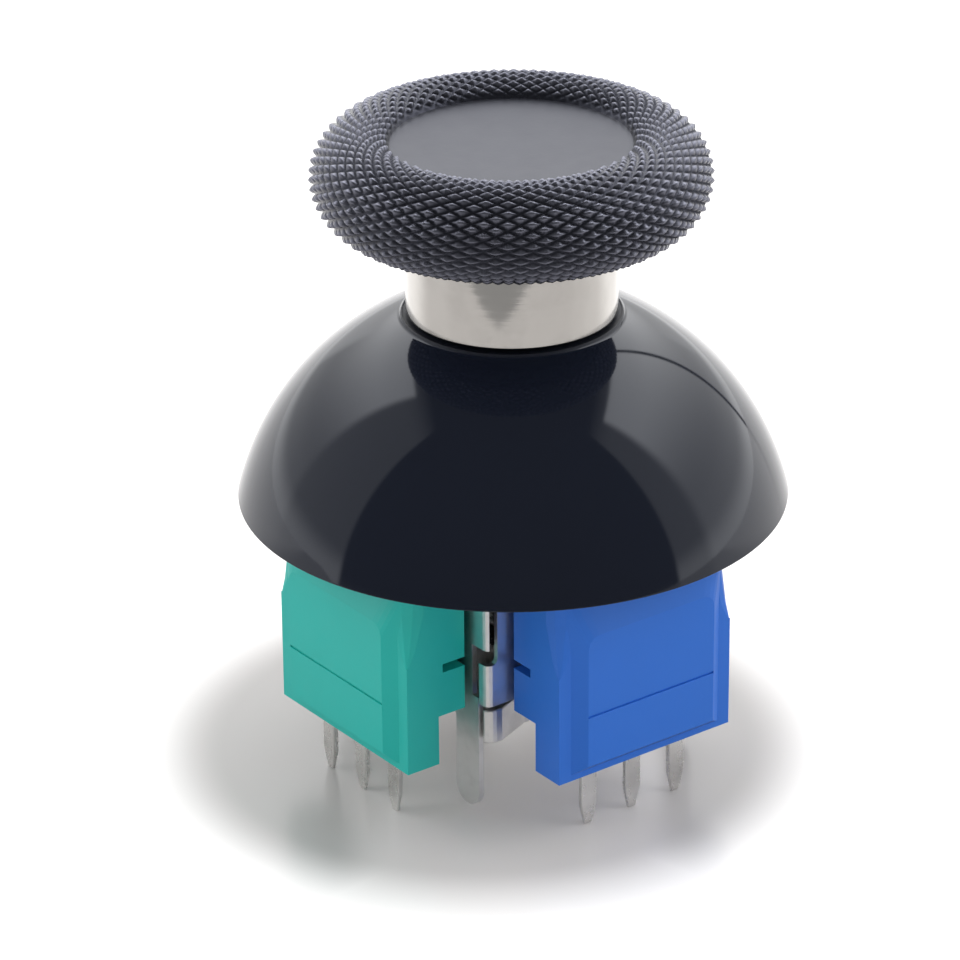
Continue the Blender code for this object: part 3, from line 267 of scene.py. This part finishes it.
def moulded(name, colour, roughness, mottle=0.06, unevenness=0.1, grain=9000.0, depth=4e-6,
            specular=0.5, tint=(1.0, 1.0, 1.0), metallic=0.0, painted_groove_shade=None):
    """Moulded or anodised surface of one colour, with painted shade in the grooves between crests
    if given.
    """
    made, g, shader = new_material(name)
    skin = g.add("ShaderNodeGroup", node_tree=MOULDED_SKIN)
    for key, value in (("Colour", (*colour, 1.0)), ("Roughness", roughness), ("Mottle", mottle),
                       ("Unevenness", unevenness), ("Grain Scale", grain),
                       ("Grain Depth", depth)):
        skin.inputs[key].default_value = value
    # Painted shade: below the crests the colour goes over to a darker one that stands in for the
    # shade in the knurl's grooves.
    if painted_groove_shade:
        crest = g.add("ShaderNodeAttribute", attribute_name=CREST).outputs["Fac"]
        unshaded_crest_share = g.ramp(crest, GROOVE_SHADE_END, CREST_START)
        crest_or_painted_groove_shade = g.add("ShaderNodeMix", {"Factor": unshaded_crest_share, 6: (*painted_groove_shade, 1.0), 7: (*colour, 1.0)},
                       data_type="RGBA")
        g.feed(crest_or_painted_groove_shade.outputs[2], skin.inputs["Colour"])
    g.feed(skin.outputs["Colour"], shader.inputs["Base Color"])
    g.feed(skin.outputs["Roughness"], shader.inputs["Roughness"])
    g.feed(skin.outputs["Normal"], shader.inputs["Normal"])
    shader.inputs["Specular IOR Level"].default_value = specular
    shader.inputs["Specular Tint"].default_value = (*tint, 1.0)
    shader.inputs["Metallic"].default_value = metallic
    return made


def bare_metal(name, colour, roughness, stain=0.1, scuffs=0.08, lines=(300.0, 300.0, 9000.0),
               depth=6e-7):
    """Bare or plated metal with drawn lines."""
    made, g, shader = new_material(name)
    skin = g.add("ShaderNodeGroup", node_tree=METAL_SKIN)
    for key, value in (("Colour", (*colour, 1.0)), ("Stain", stain), ("Roughness", roughness),
                       ("Scuffs", scuffs), ("Line Scale", lines), ("Line Depth", depth)):
        skin.inputs[key].default_value = value
    g.feed(skin.outputs["Colour"], shader.inputs["Base Color"])
    g.feed(skin.outputs["Roughness"], shader.inputs["Roughness"])
    g.feed(skin.outputs["Normal"], shader.inputs["Normal"])
    shader.inputs["Metallic"].default_value = 1.0
    return made


def dull_within(made, radius, dull, polished):
    """The same material, dull within a radius of the stick's axis."""
    g = Graph(made.node_tree)
    flat = g.add("ShaderNodeVectorMath", {0: g.place(), 1: (1.0, 1.0, 0.0)}, operation="MULTIPLY")
    across = g.add("ShaderNodeVectorMath", {0: flat.outputs["Vector"]}, operation="LENGTH")
    rough = g.ramp(across.outputs["Value"], radius, radius + DULL_FADE, dull, polished)
    skin = next(node for node in g.tree.nodes if node.type == "GROUP")
    g.feed(rough, skin.inputs["Roughness"])
    return made


# Surfaces worked out with numpy


def grid_faces(rows, columns):
    """Quads between neighbouring points of a grid that closes round in its columns."""
    row, column = np.meshgrid(np.arange(rows - 1), np.arange(columns), indexing="ij")
    after = (column + 1) % columns
    return np.stack([row * columns + column, (row + 1) * columns + column,
                     (row + 1) * columns + after, row * columns + after], axis=-1).reshape(-1, 4)


def ring_points(radius, height, columns):
    """Points of circles about Z: radius and height by row, angle by column."""
    angle = 2.0 * math.pi * np.arange(columns) / columns
    radius = np.asarray(radius, float)
    if radius.ndim == 1:
        radius = radius[:, None]
        height = np.asarray(height, float)[:, None]
    x = radius * np.cos(angle)
    y = radius * np.sin(angle)
    return np.stack([x, y, np.broadcast_to(height, x.shape)], axis=-1)


def to_pole(faces, row, columns):
    """The same faces, with all points of a row taken as the row's first point."""
    return np.where(faces // columns == row, row * columns, faces)


def mesh_piece(name, points, faces, skin):
    """Smooth object from points and quads; quads with a repeated corner become triangles."""
    mesh = bpy.data.meshes.new(name)
    points = points.reshape(-1, 3)
    mesh.from_pydata(points.tolist(), [], [tuple(dict.fromkeys(face)) for face in faces.tolist()])
    mesh.update()
    piece = bpy.data.objects.new(name, mesh)
    bpy.context.scene.collection.objects.link(piece)
    mesh.materials.append(skin)
    mesh.shade_smooth()
    return piece


def revolve(name, profile, skin, columns=ROUND_COLUMNS):
    """Surface of a (radius, height) profile turned about Z; rows at radius 0 are one point.

    The profile runs down the outer side, so that the faces point outwards.
    """
    profile = np.asarray(profile, float)
    points = ring_points(profile[:, 0], profile[:, 1], columns)
    faces = grid_faces(len(profile), columns)
    for row in np.flatnonzero(profile[:, 0] < ON_AXIS):
        faces = to_pole(faces, row, columns)
    return mesh_piece(name, points, faces, skin)


def arc(centre, radius, start_deg, end_deg, steps):
    """Points on an arc, with both ends."""
    angle = np.radians(np.linspace(start_deg, end_deg, steps + 1))
    return np.stack([centre[0] + radius * np.cos(angle), centre[1] + radius * np.sin(angle)], -1)


def rounded(corners, radius, steps=5):
    """Path whose inner corners are rounded: each corner becomes points of a quadratic curve
    between the places one radius before and after it."""
    corners = np.asarray(corners, float)
    path = [corners[:1]]
    share = np.linspace(0.0, 1.0, steps + 1)[:, None]
    for before, corner, after in zip(corners, corners[1:], corners[2:]):
        back, ahead = before - corner, after - corner
        back_length, ahead_length = np.linalg.norm(back), np.linalg.norm(ahead)
        reach = min(radius, back_length / 2.0, ahead_length / 2.0)
        start = corner + back / back_length * reach
        end = corner + ahead / ahead_length * reach
        path.append((1 - share) ** 2 * start + 2 * share * (1 - share) * corner
                    + share ** 2 * end)
    path.append(corners[-1:])
    return np.concatenate(path)


def sphere_profile(radius, start_r, end_r, steps):
    """Profile points on a sphere about the pivot between two radii about Z."""
    start = math.degrees(math.acos(start_r / radius))
    end = math.degrees(math.acos(end_r / radius))
    return arc((0.0, PIVOT_Z), radius, start, end, steps)


def knurled_rim(skin):
    """Round rim of the cap. Around Z by column and round the tube by row, a knurl stands
    where both spiral phases are whole; the smaller distance of the two phases from their
    grooves, bent over by a parabola, is its height."""
    columns = 2 * KNURLS_PER_ROW * KNURL_CELLS
    rows = KNURL_ROWS * KNURL_CELLS + 1
    column = np.arange(columns)[None, :] / KNURL_CELLS
    row = np.arange(rows)[:, None] / KNURL_CELLS
    phases = np.stack([(column + row) / 2.0, (column - row) / 2.0])
    pyramid = (1.0 - 2.0 * np.abs(phases - np.round(phases))).min(axis=0)
    fade = np.clip(np.minimum(row, KNURL_ROWS - row) / KNURL_FADE_ROWS, 0.0, 1.0)
    height = fade * pyramid * (1.0 + KNURL_CROWN - KNURL_CROWN * pyramid)
    tube = TUBE_R - KNURL_DEEP * (1.0 - height)
    angle = np.radians(KNURL_START_DEG + (KNURL_END_DEG - KNURL_START_DEG) * row / KNURL_ROWS)
    rim = ring_points(TUBE_CENTRE_R + tube * np.cos(angle), TUBE_Z + tube * np.sin(angle), columns)
    hollow_r = RING_R - RUNNING_GAP
    hollow_top = NECK_TOP_Z + RUNNING_GAP
    underside = rounded([UNDER_EDGE, (UNDER_STEP_R, UNDER_Z), (UNDER_INNER_R, UNDER_Z),
                         (hollow_r, UNDER_Z), (hollow_r, hollow_top), (0.0, hollow_top)],
                        UNDER_ROUND)
    under = ring_points(underside[:, 0], underside[:, 1], columns)
    top = ring_points([0.0, LID_R], [DISC_LEVEL_Z - LID_DROP] * 2, columns)
    points = np.concatenate([top, rim, under])
    faces = grid_faces(len(points), columns)
    for pole in (0, len(points) - 1):
        faces = to_pole(faces, pole, columns)
    piece = mesh_piece("knurled_rim", points, faces, skin)
    # The knurl's height is kept on the points as the mask for the painted shade in the grooves.
    crest = np.zeros(points.shape[:2])
    crest[len(top):len(top) + rows] = height
    attribute = piece.data.attributes.new(CREST, "FLOAT", "POINT")
    attribute.data.foreach_set("value", crest.ravel())
    return piece


def cap_disc(skin):
    """Smooth disc of the cap, dished a little: height falls with the square of the distance
    from the edge, and the edge is a small round."""
    edge = TUBE_CENTRE_R + (TUBE_R - KNURL_DEEP) * math.cos(math.radians(KNURL_START_DEG))
    share = np.linspace(0.0, 1.0, DISC_STEPS)
    height = DISC_LEVEL_Z - DISC_SINK - DISC_DISH * (1.0 - share ** 2)
    dish = np.stack([share * (edge - DISC_MARGIN), height], -1)
    skirt = rounded([dish[-1], (edge, DISC_LEVEL_Z - DISC_EDGE_SINK),
                     (edge, DISC_LEVEL_Z - DISC_THICK), (0.0, DISC_LEVEL_Z - DISC_THICK)],
                    DISC_ROUND)
    return revolve("cap_disc", np.concatenate([dish[:-1], skirt]), skin)


def glossy_dome(skin):
    """Dome, lip and neck: two sphere arcs about the pivot joined by rounded corners."""
    inner_r = DOME_R - DOME_WALL
    drop = DOME_RIM_Z - PIVOT_Z
    outer_rim = math.sqrt(DOME_R ** 2 - drop ** 2)
    inner_rim = math.sqrt(inner_r ** 2 - drop ** 2)
    seat = RING_LOW_Z - CLOSE_GAP
    lip_in = RING_R + CLOSE_GAP
    lip_out = LIP_END_R - LIP_FLARE
    neck = rounded([(0.0, NECK_TOP_Z), (NECK_R, NECK_TOP_Z), (NECK_R, seat), (lip_in, seat),
                    (lip_in, seat + LIP_HIGH), (lip_out, seat + LIP_HIGH),
                    (LIP_END_R, PIVOT_Z + math.sqrt(DOME_R ** 2 - LIP_END_R ** 2))], JOIN)
    outer = sphere_profile(DOME_R, LIP_END_R + JOIN / 2.0, outer_rim - JOIN, DOME_STEPS)
    rim = rounded([outer[-1], (outer_rim, DOME_RIM_Z), (inner_rim, DOME_RIM_Z),
                   (inner_rim - JOIN, DOME_RIM_Z + DOME_RIM_DEEP)], DOME_RIM_ROUND)
    inner = sphere_profile(inner_r, inner_rim, SOCKET_WIDE_R, INNER_STEPS)
    ceiling = inner[-1][1]
    socket = rounded([(SOCKET_WIDE_R, ceiling - JOIN), (SOCKET_R, ceiling - SOCKET_STEP),
                      (SOCKET_R, SOCKET_END_Z), (SHAFT_BORE_R, SOCKET_END_Z),
                      (SHAFT_BORE_R, SHAFT_BORE_END_Z), (0.0, SHAFT_BORE_END_Z)], SOCKET_ROUND)
    profile = np.concatenate([neck[:-1], outer[:-1], rim, inner[1:-1], socket])
    return revolve("glossy_dome", profile, skin)


def turned_ring(skin):
    """Ring: a rectangle with rounded corners turned about Z."""
    inner = RING_R - RING_WALL
    corners = [(inner, (RING_LOW_Z + RING_HIGH_Z) / 2.0), (inner, RING_HIGH_Z),
               (RING_R, RING_HIGH_Z), (RING_R, RING_LOW_Z), (inner, RING_LOW_Z),
               (inner, (RING_LOW_Z + RING_HIGH_Z) / 2.0)]
    return revolve("turned_ring", rounded(corners, RING_ROUND), skin)


def wound_spring(skin):
    """Spring: a circle of the wire's radius carried along a helix.

    At share t the centre is (r cos a, r sin a, top - drop t), with a = 2 pi turns t. The circle
    lies square to the helix, and its radius falls to 0 at both ends.
    """
    low, high = (corner.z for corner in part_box("return_spring"))
    share = np.linspace(0.0, 1.0, COIL_TURNS * COIL_STEPS + 1)
    share = np.concatenate([[0.0], share, [1.0]])
    wire = np.full(len(share), WIRE_R)
    wire[[0, -1]] = 0.0
    drop = high - low - 2.0 * WIRE_R
    turn = 2.0 * math.pi * COIL_TURNS * share
    out = np.stack([np.cos(turn), np.sin(turn), np.zeros_like(turn)], axis=-1)
    along = np.stack([-COIL_R * np.sin(turn), COIL_R * np.cos(turn),
                      np.full_like(turn, -drop / (2.0 * math.pi * COIL_TURNS))], axis=-1)
    side = np.cross(out, along / np.linalg.norm(along, axis=-1, keepdims=True))
    centre = COIL_R * out
    centre[:, 2] = high - WIRE_R - drop * share
    angle = 2.0 * math.pi * np.arange(COIL_SIDES) / COIL_SIDES
    circle = out[:, None] * np.cos(angle)[:, None] + side[:, None] * np.sin(angle)[:, None]
    points = centre[:, None] + wire[:, None, None] * circle
    faces = grid_faces(len(share), COIL_SIDES)
    for end in (0, len(share) - 1):
        faces = to_pole(faces, end, COIL_SIDES)
    return mesh_piece("wound_spring", points, faces, skin)


# Finishes

COOL = (0.9, 0.93, 1.0)
# The darker colour given for the cap's grooves is painted shade, not a second colour of the cap.
CAP_SKIN = moulded("cap_anodised", (0.185, 0.19, 0.235), 0.28, 0.1, 0.12, 7000.0, 3e-6,
                   metallic=0.85, painted_groove_shade=(0.045, 0.047, 0.062))
DISC_SKIN = moulded("disc_anodised", (0.055, 0.058, 0.074), 0.36, 0.08, 0.08, 6000.0, 2e-6,
                    metallic=0.85)
DOME_SKIN = dull_within(moulded("dome_polished_black", (0.008, 0.0105, 0.019), 0.06, 0.1, 0.03,
                                900.0, 1e-7, 0.5, COOL), LIP_END_R, 0.5, 0.06)
RING_SKIN = bare_metal("ring_turned", (0.66, 0.64, 0.61), 0.08, 0.06, 0.05,
                       (90.0, 90.0, 3600.0), 2.4e-6)
SHEET_SKIN = bare_metal("can_bright_sheet", (0.9, 0.9, 0.9), 0.33, 0.12, 0.12,
                        (400.0, 400.0, 5000.0), 4e-7)
BASE_SKIN = bare_metal("base_satin", (0.84, 0.83, 0.82), 0.28, 0.15, 0.12,
                       (900.0, 900.0, 900.0), 1e-6)
PIN_SKIN = bare_metal("pin_tinned", (0.9, 0.89, 0.87), 0.2, 0.2, 0.15,
                      (3000.0, 3000.0, 400.0), 6e-7)
MAGNET_SKIN = bare_metal("magnet_plated", (0.6, 0.6, 0.62), 0.3)
SPRING_SKIN = bare_metal("spring_wire", (0.55, 0.55, 0.57), 0.25)
GREEN_SKIN = moulded("cover_green", (0.008, 0.5, 0.44), 0.45, 0.05, 0.1, 5200.0, 4e-6, 0.6)
BLUE_SKIN = moulded("cover_blue", (0.024, 0.17, 0.7), 0.45, 0.05, 0.1, 5200.0, 4e-6, 0.5)
BLACK_SKIN = moulded("moulded_black", (0.025, 0.025, 0.028), 0.5)
GREY_SKIN = moulded("moulded_grey", (0.42, 0.42, 0.41), 0.5)
WHITE_SKIN = moulded("moulded_white", (0.72, 0.71, 0.68), 0.45)
BOARD_SKIN = moulded("board_green", (0.02, 0.16, 0.07), 0.35, 0.3)
CHIP_SKIN = moulded("chip_resin", (0.02, 0.02, 0.022), 0.55)


def skin_of(node):
    """Finish of a frame node by the kind of piece that it is."""
    kinds = (("right_cover", BLUE_SKIN), ("front_cover", GREEN_SKIN), ("_pin_", PIN_SKIN),
             ("lever_pin", SPRING_SKIN), ("_board", BOARD_SKIN), ("_chip", CHIP_SKIN),
             ("_rotor", WHITE_SKIN), ("_magnet", MAGNET_SKIN), ("frame_can", SHEET_SKIN),
             ("base_plate", BASE_SKIN), ("return_spring", SPRING_SKIN),
             ("spring_dish", BLACK_SKIN), ("lower_rocker", BLACK_SKIN),
             ("upper_rocker", GREY_SKIN), ("switch_body", BLACK_SKIN),
             ("switch_cover", SHEET_SKIN), ("switch_snap", SHEET_SKIN),
             ("switch_plunger", WHITE_SKIN), ("lever", WHITE_SKIN))
    return next(skin for part, skin in kinds if part in node)


EDGE_ROUNDS = {"right_cover": 0.11 * MM, "front_cover": 0.11 * MM, "frame_can": 0.06 * MM,
               "base_plate": 0.1 * MM, "switch_body": 0.12 * MM, "switch_cover": 0.04 * MM}
PIN_ROUND = 0.06 * MM
ROUND_SEGMENTS = 3
MERGE_WITHIN = 1e-6
FLAT_DEG = 0.5
SHARP_DEG = 28.0


def round_edges(node, width):
    """Rounds a frame node's edges: merged doubles, flat faces made whole, then a bevel."""
    weld = node.modifiers.new("merge", "WELD")
    weld.merge_threshold = MERGE_WITHIN
    whole = node.modifiers.new("whole_faces", "DECIMATE")
    whole.decimate_type = "DISSOLVE"
    whole.angle_limit = math.radians(FLAT_DEG)
    edges = node.modifiers.new("rounded_edges", "BEVEL")
    edges.width = width
    edges.segments = ROUND_SEGMENTS
    edges.limit_method = "ANGLE"
    edges.angle_limit = math.radians(SHARP_DEG)
    edges.harden_normals = True


def dress_nodes():
    for name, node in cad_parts.items():
        if name in ("thumb_cap", "wear_ring", "stick_dome"):
            continue
        node.data.materials.clear()
        node.data.materials.append(skin_of(name))
        width = EDGE_ROUNDS.get(name, PIN_ROUND if "_pin_" in name else 0.0)
        if width:
            round_edges(node, width)


def dress_stick():
    rim = knurled_rim(CAP_SKIN)
    disc = cap_disc(DISC_SKIN)
    dome = glossy_dome(DOME_SKIN)
    ring = turned_ring(RING_SKIN)
    for piece, node, slot in ((rim, "thumb_cap", "cap"), (disc, "thumb_cap", "cap"),
                              (dome, "stick_dome", "dome"), (ring, "wear_ring", "ring")):
        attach(piece, STICK_BODY)
        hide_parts(node)


def dress_spring():
    """Puts the wound spring on the stick."""
    spring = wound_spring(SPRING_SKIN)
    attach(spring, STICK_BODY)
    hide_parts("return_spring")
    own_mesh(spring)


# Studio

FLOOR_HALF = 0.6
FLOOR_NOTCH = 49.5 * MM
FLOOR_SPLAY = 0.32
FLOOR_TURN_DEG = -14.0
# Painted shadow: share of the floor's colour to the sides of the stick and outside the round patch
FLOOR_PAINTED_SHADE = 0.6
FLOOR_COLOUR = (0.61, 0.585, 0.575)
FLOOR_ROUGHNESS = 0.25
FLOOR_SPECULAR = 0.4
PAINTED_SHADE_FROM = 5.0 * MM
PAINTED_SHADE_TO = 9.0 * MM
SHADOW_CENTRE = (-1.4 * MM, 0.6 * MM)
SHADOW_R = 12.0 * MM
WHITE_R = 17.0 * MM
SHADOW_GLOW = 0.06
WHITE_GLOW = 0.75
MIRRORED_GLOW = 0.3
BEHIND_GLOW = 0.8
BEHIND_FROM = -5.0 * MM
BEHIND_TO = -35.0 * MM
FILL_GAIN = 3.7
FILL_MOST = 2.4
FILL_LEAST = 0.4
FACING = Vector((CAMERA_PLACE[0], CAMERA_PLACE[1], 0.0)).normalized()
ASIDE = Vector((-FACING.y, FACING.x, 0.0))

# Tent: edges are shares of the way aside, ahead of or above the stick, and light is a strength
RIGHT_BLEND = 0.02
WALL_EDGE = (0.34, 0.28)
WALL_TOP = (2.2, 1.3)
WALL_LIGHT = (0.16, 0.0, 0.62, 1.35)
WALL_RIGHT_SHIFT = 0.08
PANEL_EDGE = (-0.3, -0.42)
PANEL_TOP = (1.66, 1.56)
PANEL_LIGHT = (0.3, 1.1, 0.25, 1.9)
PANEL_RIGHT_SHIFT = 0.42
PANEL_RIGHT_MORE = 0.25
BACK_EDGE = (-1.3, -2.2)
BACK_TOP = (0.7, 0.6)
BACK_LIGHT = (0.0, 0.6, 1.2, 2.4)
STAND_PLACE = 1.28
STAND_EDGE = (0.02, 0.05)
BELOW_LIGHT = (0.0, -0.1, 0.11, 0.34)

# Lamps: place, target, size and power
BACK_LAMP = ((-0.12, 0.1, 0.28), (0.0, 0.0, 0.015), (0.2, 0.2), 0.35)
FRONT_FILL = (FACING * 0.28 + Vector((0.0, 0.0, 0.1)), (0.0, 0.0, 0.007), (0.08, 0.08), 0.15)


def aim_camera():
    """Camera turned by its yaw about +Z, tipped down by its pitch and rolled a little."""
    yaw, pitch, roll = (math.radians(angle) for angle in
                        (CAMERA_YAW_DEG, CAMERA_PITCH_DEG, CAMERA_ROLL_DEG))
    right = Vector((math.cos(yaw), math.sin(yaw), 0.0))
    ahead = Vector((-math.sin(yaw) * math.cos(pitch), math.cos(yaw) * math.cos(pitch),
                    math.sin(pitch)))
    up = right.cross(ahead)
    rolled_right = right * math.cos(roll) + up * math.sin(roll)
    rolled_up = up * math.cos(roll) - right * math.sin(roll)
    data = bpy.data.cameras.new("photo_camera")
    data.lens = CAMERA_LENS
    data.sensor_width = CAMERA_SENSOR
    data.clip_end = CAMERA_REACH
    camera = bpy.data.objects.new("photo_camera", data)
    bpy.context.scene.collection.objects.link(camera)
    turned = camera.matrix_world.copy()
    for row in range(3):
        turned[row] = (rolled_right[row], rolled_up[row], -ahead[row], CAMERA_PLACE[row])
    camera.matrix_world = turned
    bpy.context.scene.camera = camera


def lay_floor():
    """Pale floor with a wide notch in its front end.

    Outside a round patch about the stick, what the camera sees of it glows until it is as white
    as the background, and polished pieces see a part of that glow, more of it behind the stick.
    The glow's ramp sets the edge of the shadow patch, and the floor's colour is darker to the
    sides of the stick and outside the patch: both are painted shadow.
    """
    made, g, shader = new_material("studio_floor")
    place = g.place()
    aside = g.add("ShaderNodeVectorMath", {0: place, 1: ASIDE}, operation="DOT_PRODUCT")
    shader.inputs["Roughness"].default_value = FLOOR_ROUGHNESS
    shader.inputs["Specular IOR Level"].default_value = FLOOR_SPECULAR
    shader.inputs["Emission Color"].default_value = (1.0, 1.0, 1.0, 1.0)
    centre = ASIDE * SHADOW_CENTRE[0] + FACING * SHADOW_CENTRE[1]
    offset = g.add("ShaderNodeVectorMath", {0: place, 1: centre}, operation="DISTANCE")
    # Painted light: the camera-seen glow whitens the floor outside the patch and so cuts the
    # shadow off at the patch's edge.
    glow = g.ramp(offset.outputs["Value"], SHADOW_R, WHITE_R, SHADOW_GLOW, WHITE_GLOW)
    # Painted shadow: the floor's colour is darker to the sides of the stick and outside the patch,
    # standing in for the shadow's spread.
    painted_shade_aside = g.ramp(g.math("ABSOLUTE", aside.outputs["Value"]), PAINTED_SHADE_FROM, PAINTED_SHADE_TO)
    painted_shade_away = g.ramp(offset.outputs["Value"], SHADOW_R, WHITE_R)
    shade = g.ramp(g.math("MAXIMUM", painted_shade_aside, painted_shade_away), 0.0, 1.0, 1.0, FLOOR_PAINTED_SHADE)
    tinted = g.add("ShaderNodeHueSaturation", {"Value": shade, "Color": (*FLOOR_COLOUR, 1.0)})
    g.feed(tinted.outputs["Color"], shader.inputs["Base Color"])
    path = g.add("ShaderNodeLightPath")
    ahead = g.add("ShaderNodeVectorMath", {0: place, 1: FACING}, operation="DOT_PRODUCT")
    sheen = g.ramp(ahead.outputs["Value"], BEHIND_FROM, BEHIND_TO, MIRRORED_GLOW, BEHIND_GLOW)
    mirrored = g.math("MULTIPLY", path.outputs["Is Glossy Ray"], sheen)
    seen = g.math("ADD", path.outputs["Is Camera Ray"], mirrored)
    g.feed(g.math("MULTIPLY", seen, glow), shader.inputs["Emission Strength"])
    turn = Matrix.Rotation(math.radians(FLOOR_TURN_DEG), 3, "Z")
    front = FLOOR_NOTCH + FLOOR_SPLAY * FLOOR_HALF
    corners = [turn @ (ASIDE * across + FACING * ahead) for across, ahead in (
        (-FLOOR_HALF, -FLOOR_HALF), (FLOOR_HALF, -FLOOR_HALF), (FLOOR_HALF, front),
        (0.0, FLOOR_NOTCH), (-FLOOR_HALF, front))]
    mesh = bpy.data.meshes.new("studio_floor")
    mesh.from_pydata(corners, [], [(0, 1, 2, 3, 4)])
    mesh.materials.append(made)
    floor = bpy.data.objects.new("studio_floor", mesh)
    bpy.context.scene.collection.objects.link(floor)


def tent_light(g, way):
    """Light of a tent by direction.

    Its roof and front are dark, with a dim wall on each side, bright panels farther back up to a
    straight top edge, a white back, a thin dark stand on the right and a pale ground.
    """
    dot = {}
    for name, axis in (("ahead", FACING), ("aside", ASIDE), ("up", Vector((0.0, 0.0, 1.0)))):
        dot[name] = g.add("ShaderNodeVectorMath", {0: way, 1: axis},
                          operation="DOT_PRODUCT").outputs["Value"]
    apart = g.math("MAXIMUM", g.math("ABSOLUTE", dot["aside"]), 0.001)
    front = g.math("DIVIDE", dot["ahead"], apart)
    high = g.math("DIVIDE", dot["up"], apart)
    right = g.ramp(dot["aside"], -RIGHT_BLEND, RIGHT_BLEND)
    wall_place = g.math("SUBTRACT", front, g.math("MULTIPLY", right, WALL_RIGHT_SHIFT))
    wall = g.math("MULTIPLY", g.ramp(wall_place, *WALL_EDGE), g.ramp(high, *WALL_TOP))
    wall = g.math("MULTIPLY", wall, g.ramp(high, *WALL_LIGHT))
    panel_place = g.math("SUBTRACT", front, g.math("MULTIPLY", right, PANEL_RIGHT_SHIFT))
    panel = g.math("MULTIPLY", g.ramp(panel_place, *PANEL_EDGE), g.ramp(high, *PANEL_TOP))
    more = g.math("MULTIPLY", right, PANEL_RIGHT_MORE)
    panel = g.math("MULTIPLY", panel, g.math("ADD", g.ramp(high, *PANEL_LIGHT), more))
    back = g.math("MULTIPLY", g.ramp(front, *BACK_EDGE), g.ramp(dot["up"], *BACK_TOP))
    back = g.math("MULTIPLY", back, g.ramp(dot["up"], *BACK_LIGHT))
    light = g.math("MAXIMUM", g.math("ADD", wall, panel), back)
    stand = g.ramp(g.math("ABSOLUTE", g.math("ADD", front, STAND_PLACE)), *STAND_EDGE)
    stand = g.math("MAXIMUM", stand, g.math("SUBTRACT", 1.0, right))
    below = g.ramp(dot["up"], *BELOW_LIGHT)
    return g.math("MAXIMUM", g.math("MULTIPLY", light, stand), below)


def light_studio():
    """World: white to the camera and the tent's own light to mirrored rays.

    All other rays get more of the tent's light, between FILL_LEAST and FILL_MOST. The world isn't
    sampled by itself, because such samples carry no kind of ray.
    """
    world = bpy.data.worlds.new("studio_tent")
    bpy.context.scene.world = world
    world.use_nodes = True
    world.cycles.sampling_method = "NONE"
    g = Graph(world.node_tree)
    background = world.node_tree.nodes["Background"]
    tent = tent_light(g, g.add("ShaderNodeTexCoord").outputs["Generated"])
    path = g.add("ShaderNodeLightPath")
    fill = g.math("MINIMUM", g.math("MULTIPLY", tent, FILL_GAIN), FILL_MOST)
    fill = g.math("MAXIMUM", fill, FILL_LEAST)
    lit = g.add("ShaderNodeMix", {"Factor": path.outputs["Is Glossy Ray"], 2: fill, 3: tent},
                data_type="FLOAT")
    strength = g.add("ShaderNodeMix", {"Factor": path.outputs["Is Camera Ray"],
                                       2: lit.outputs[0], 3: 1.0}, data_type="FLOAT")
    g.feed(strength.outputs[0], background.inputs["Strength"])
    background.inputs["Color"].default_value = (1.0, 1.0, 1.0, 1.0)


def hang_lamp(name, place, aim, size, power, mirrored):
    """Rectangular lamp turned to its target; polished pieces see it only if mirrored."""
    data = bpy.data.lights.new(name, "AREA")
    data.shape = "RECTANGLE"
    data.size, data.size_y = size
    data.energy = power
    lamp = bpy.data.objects.new(name, data)
    lamp.location = place
    lamp.rotation_euler = (Vector(aim) - Vector(place)).to_track_quat("-Z", "Y").to_euler()
    lamp.visible_glossy = mirrored
    bpy.context.scene.collection.objects.link(lamp)


aim_camera()
dress_nodes()
dress_stick()
dress_spring()
lay_floor()
light_studio()
hang_lamp("back_lamp", *BACK_LAMP, mirrored=True)
hang_lamp("front_fill", *FRONT_FILL, mirrored=False)
bpy.context.scene.view_settings.view_transform = "Standard"
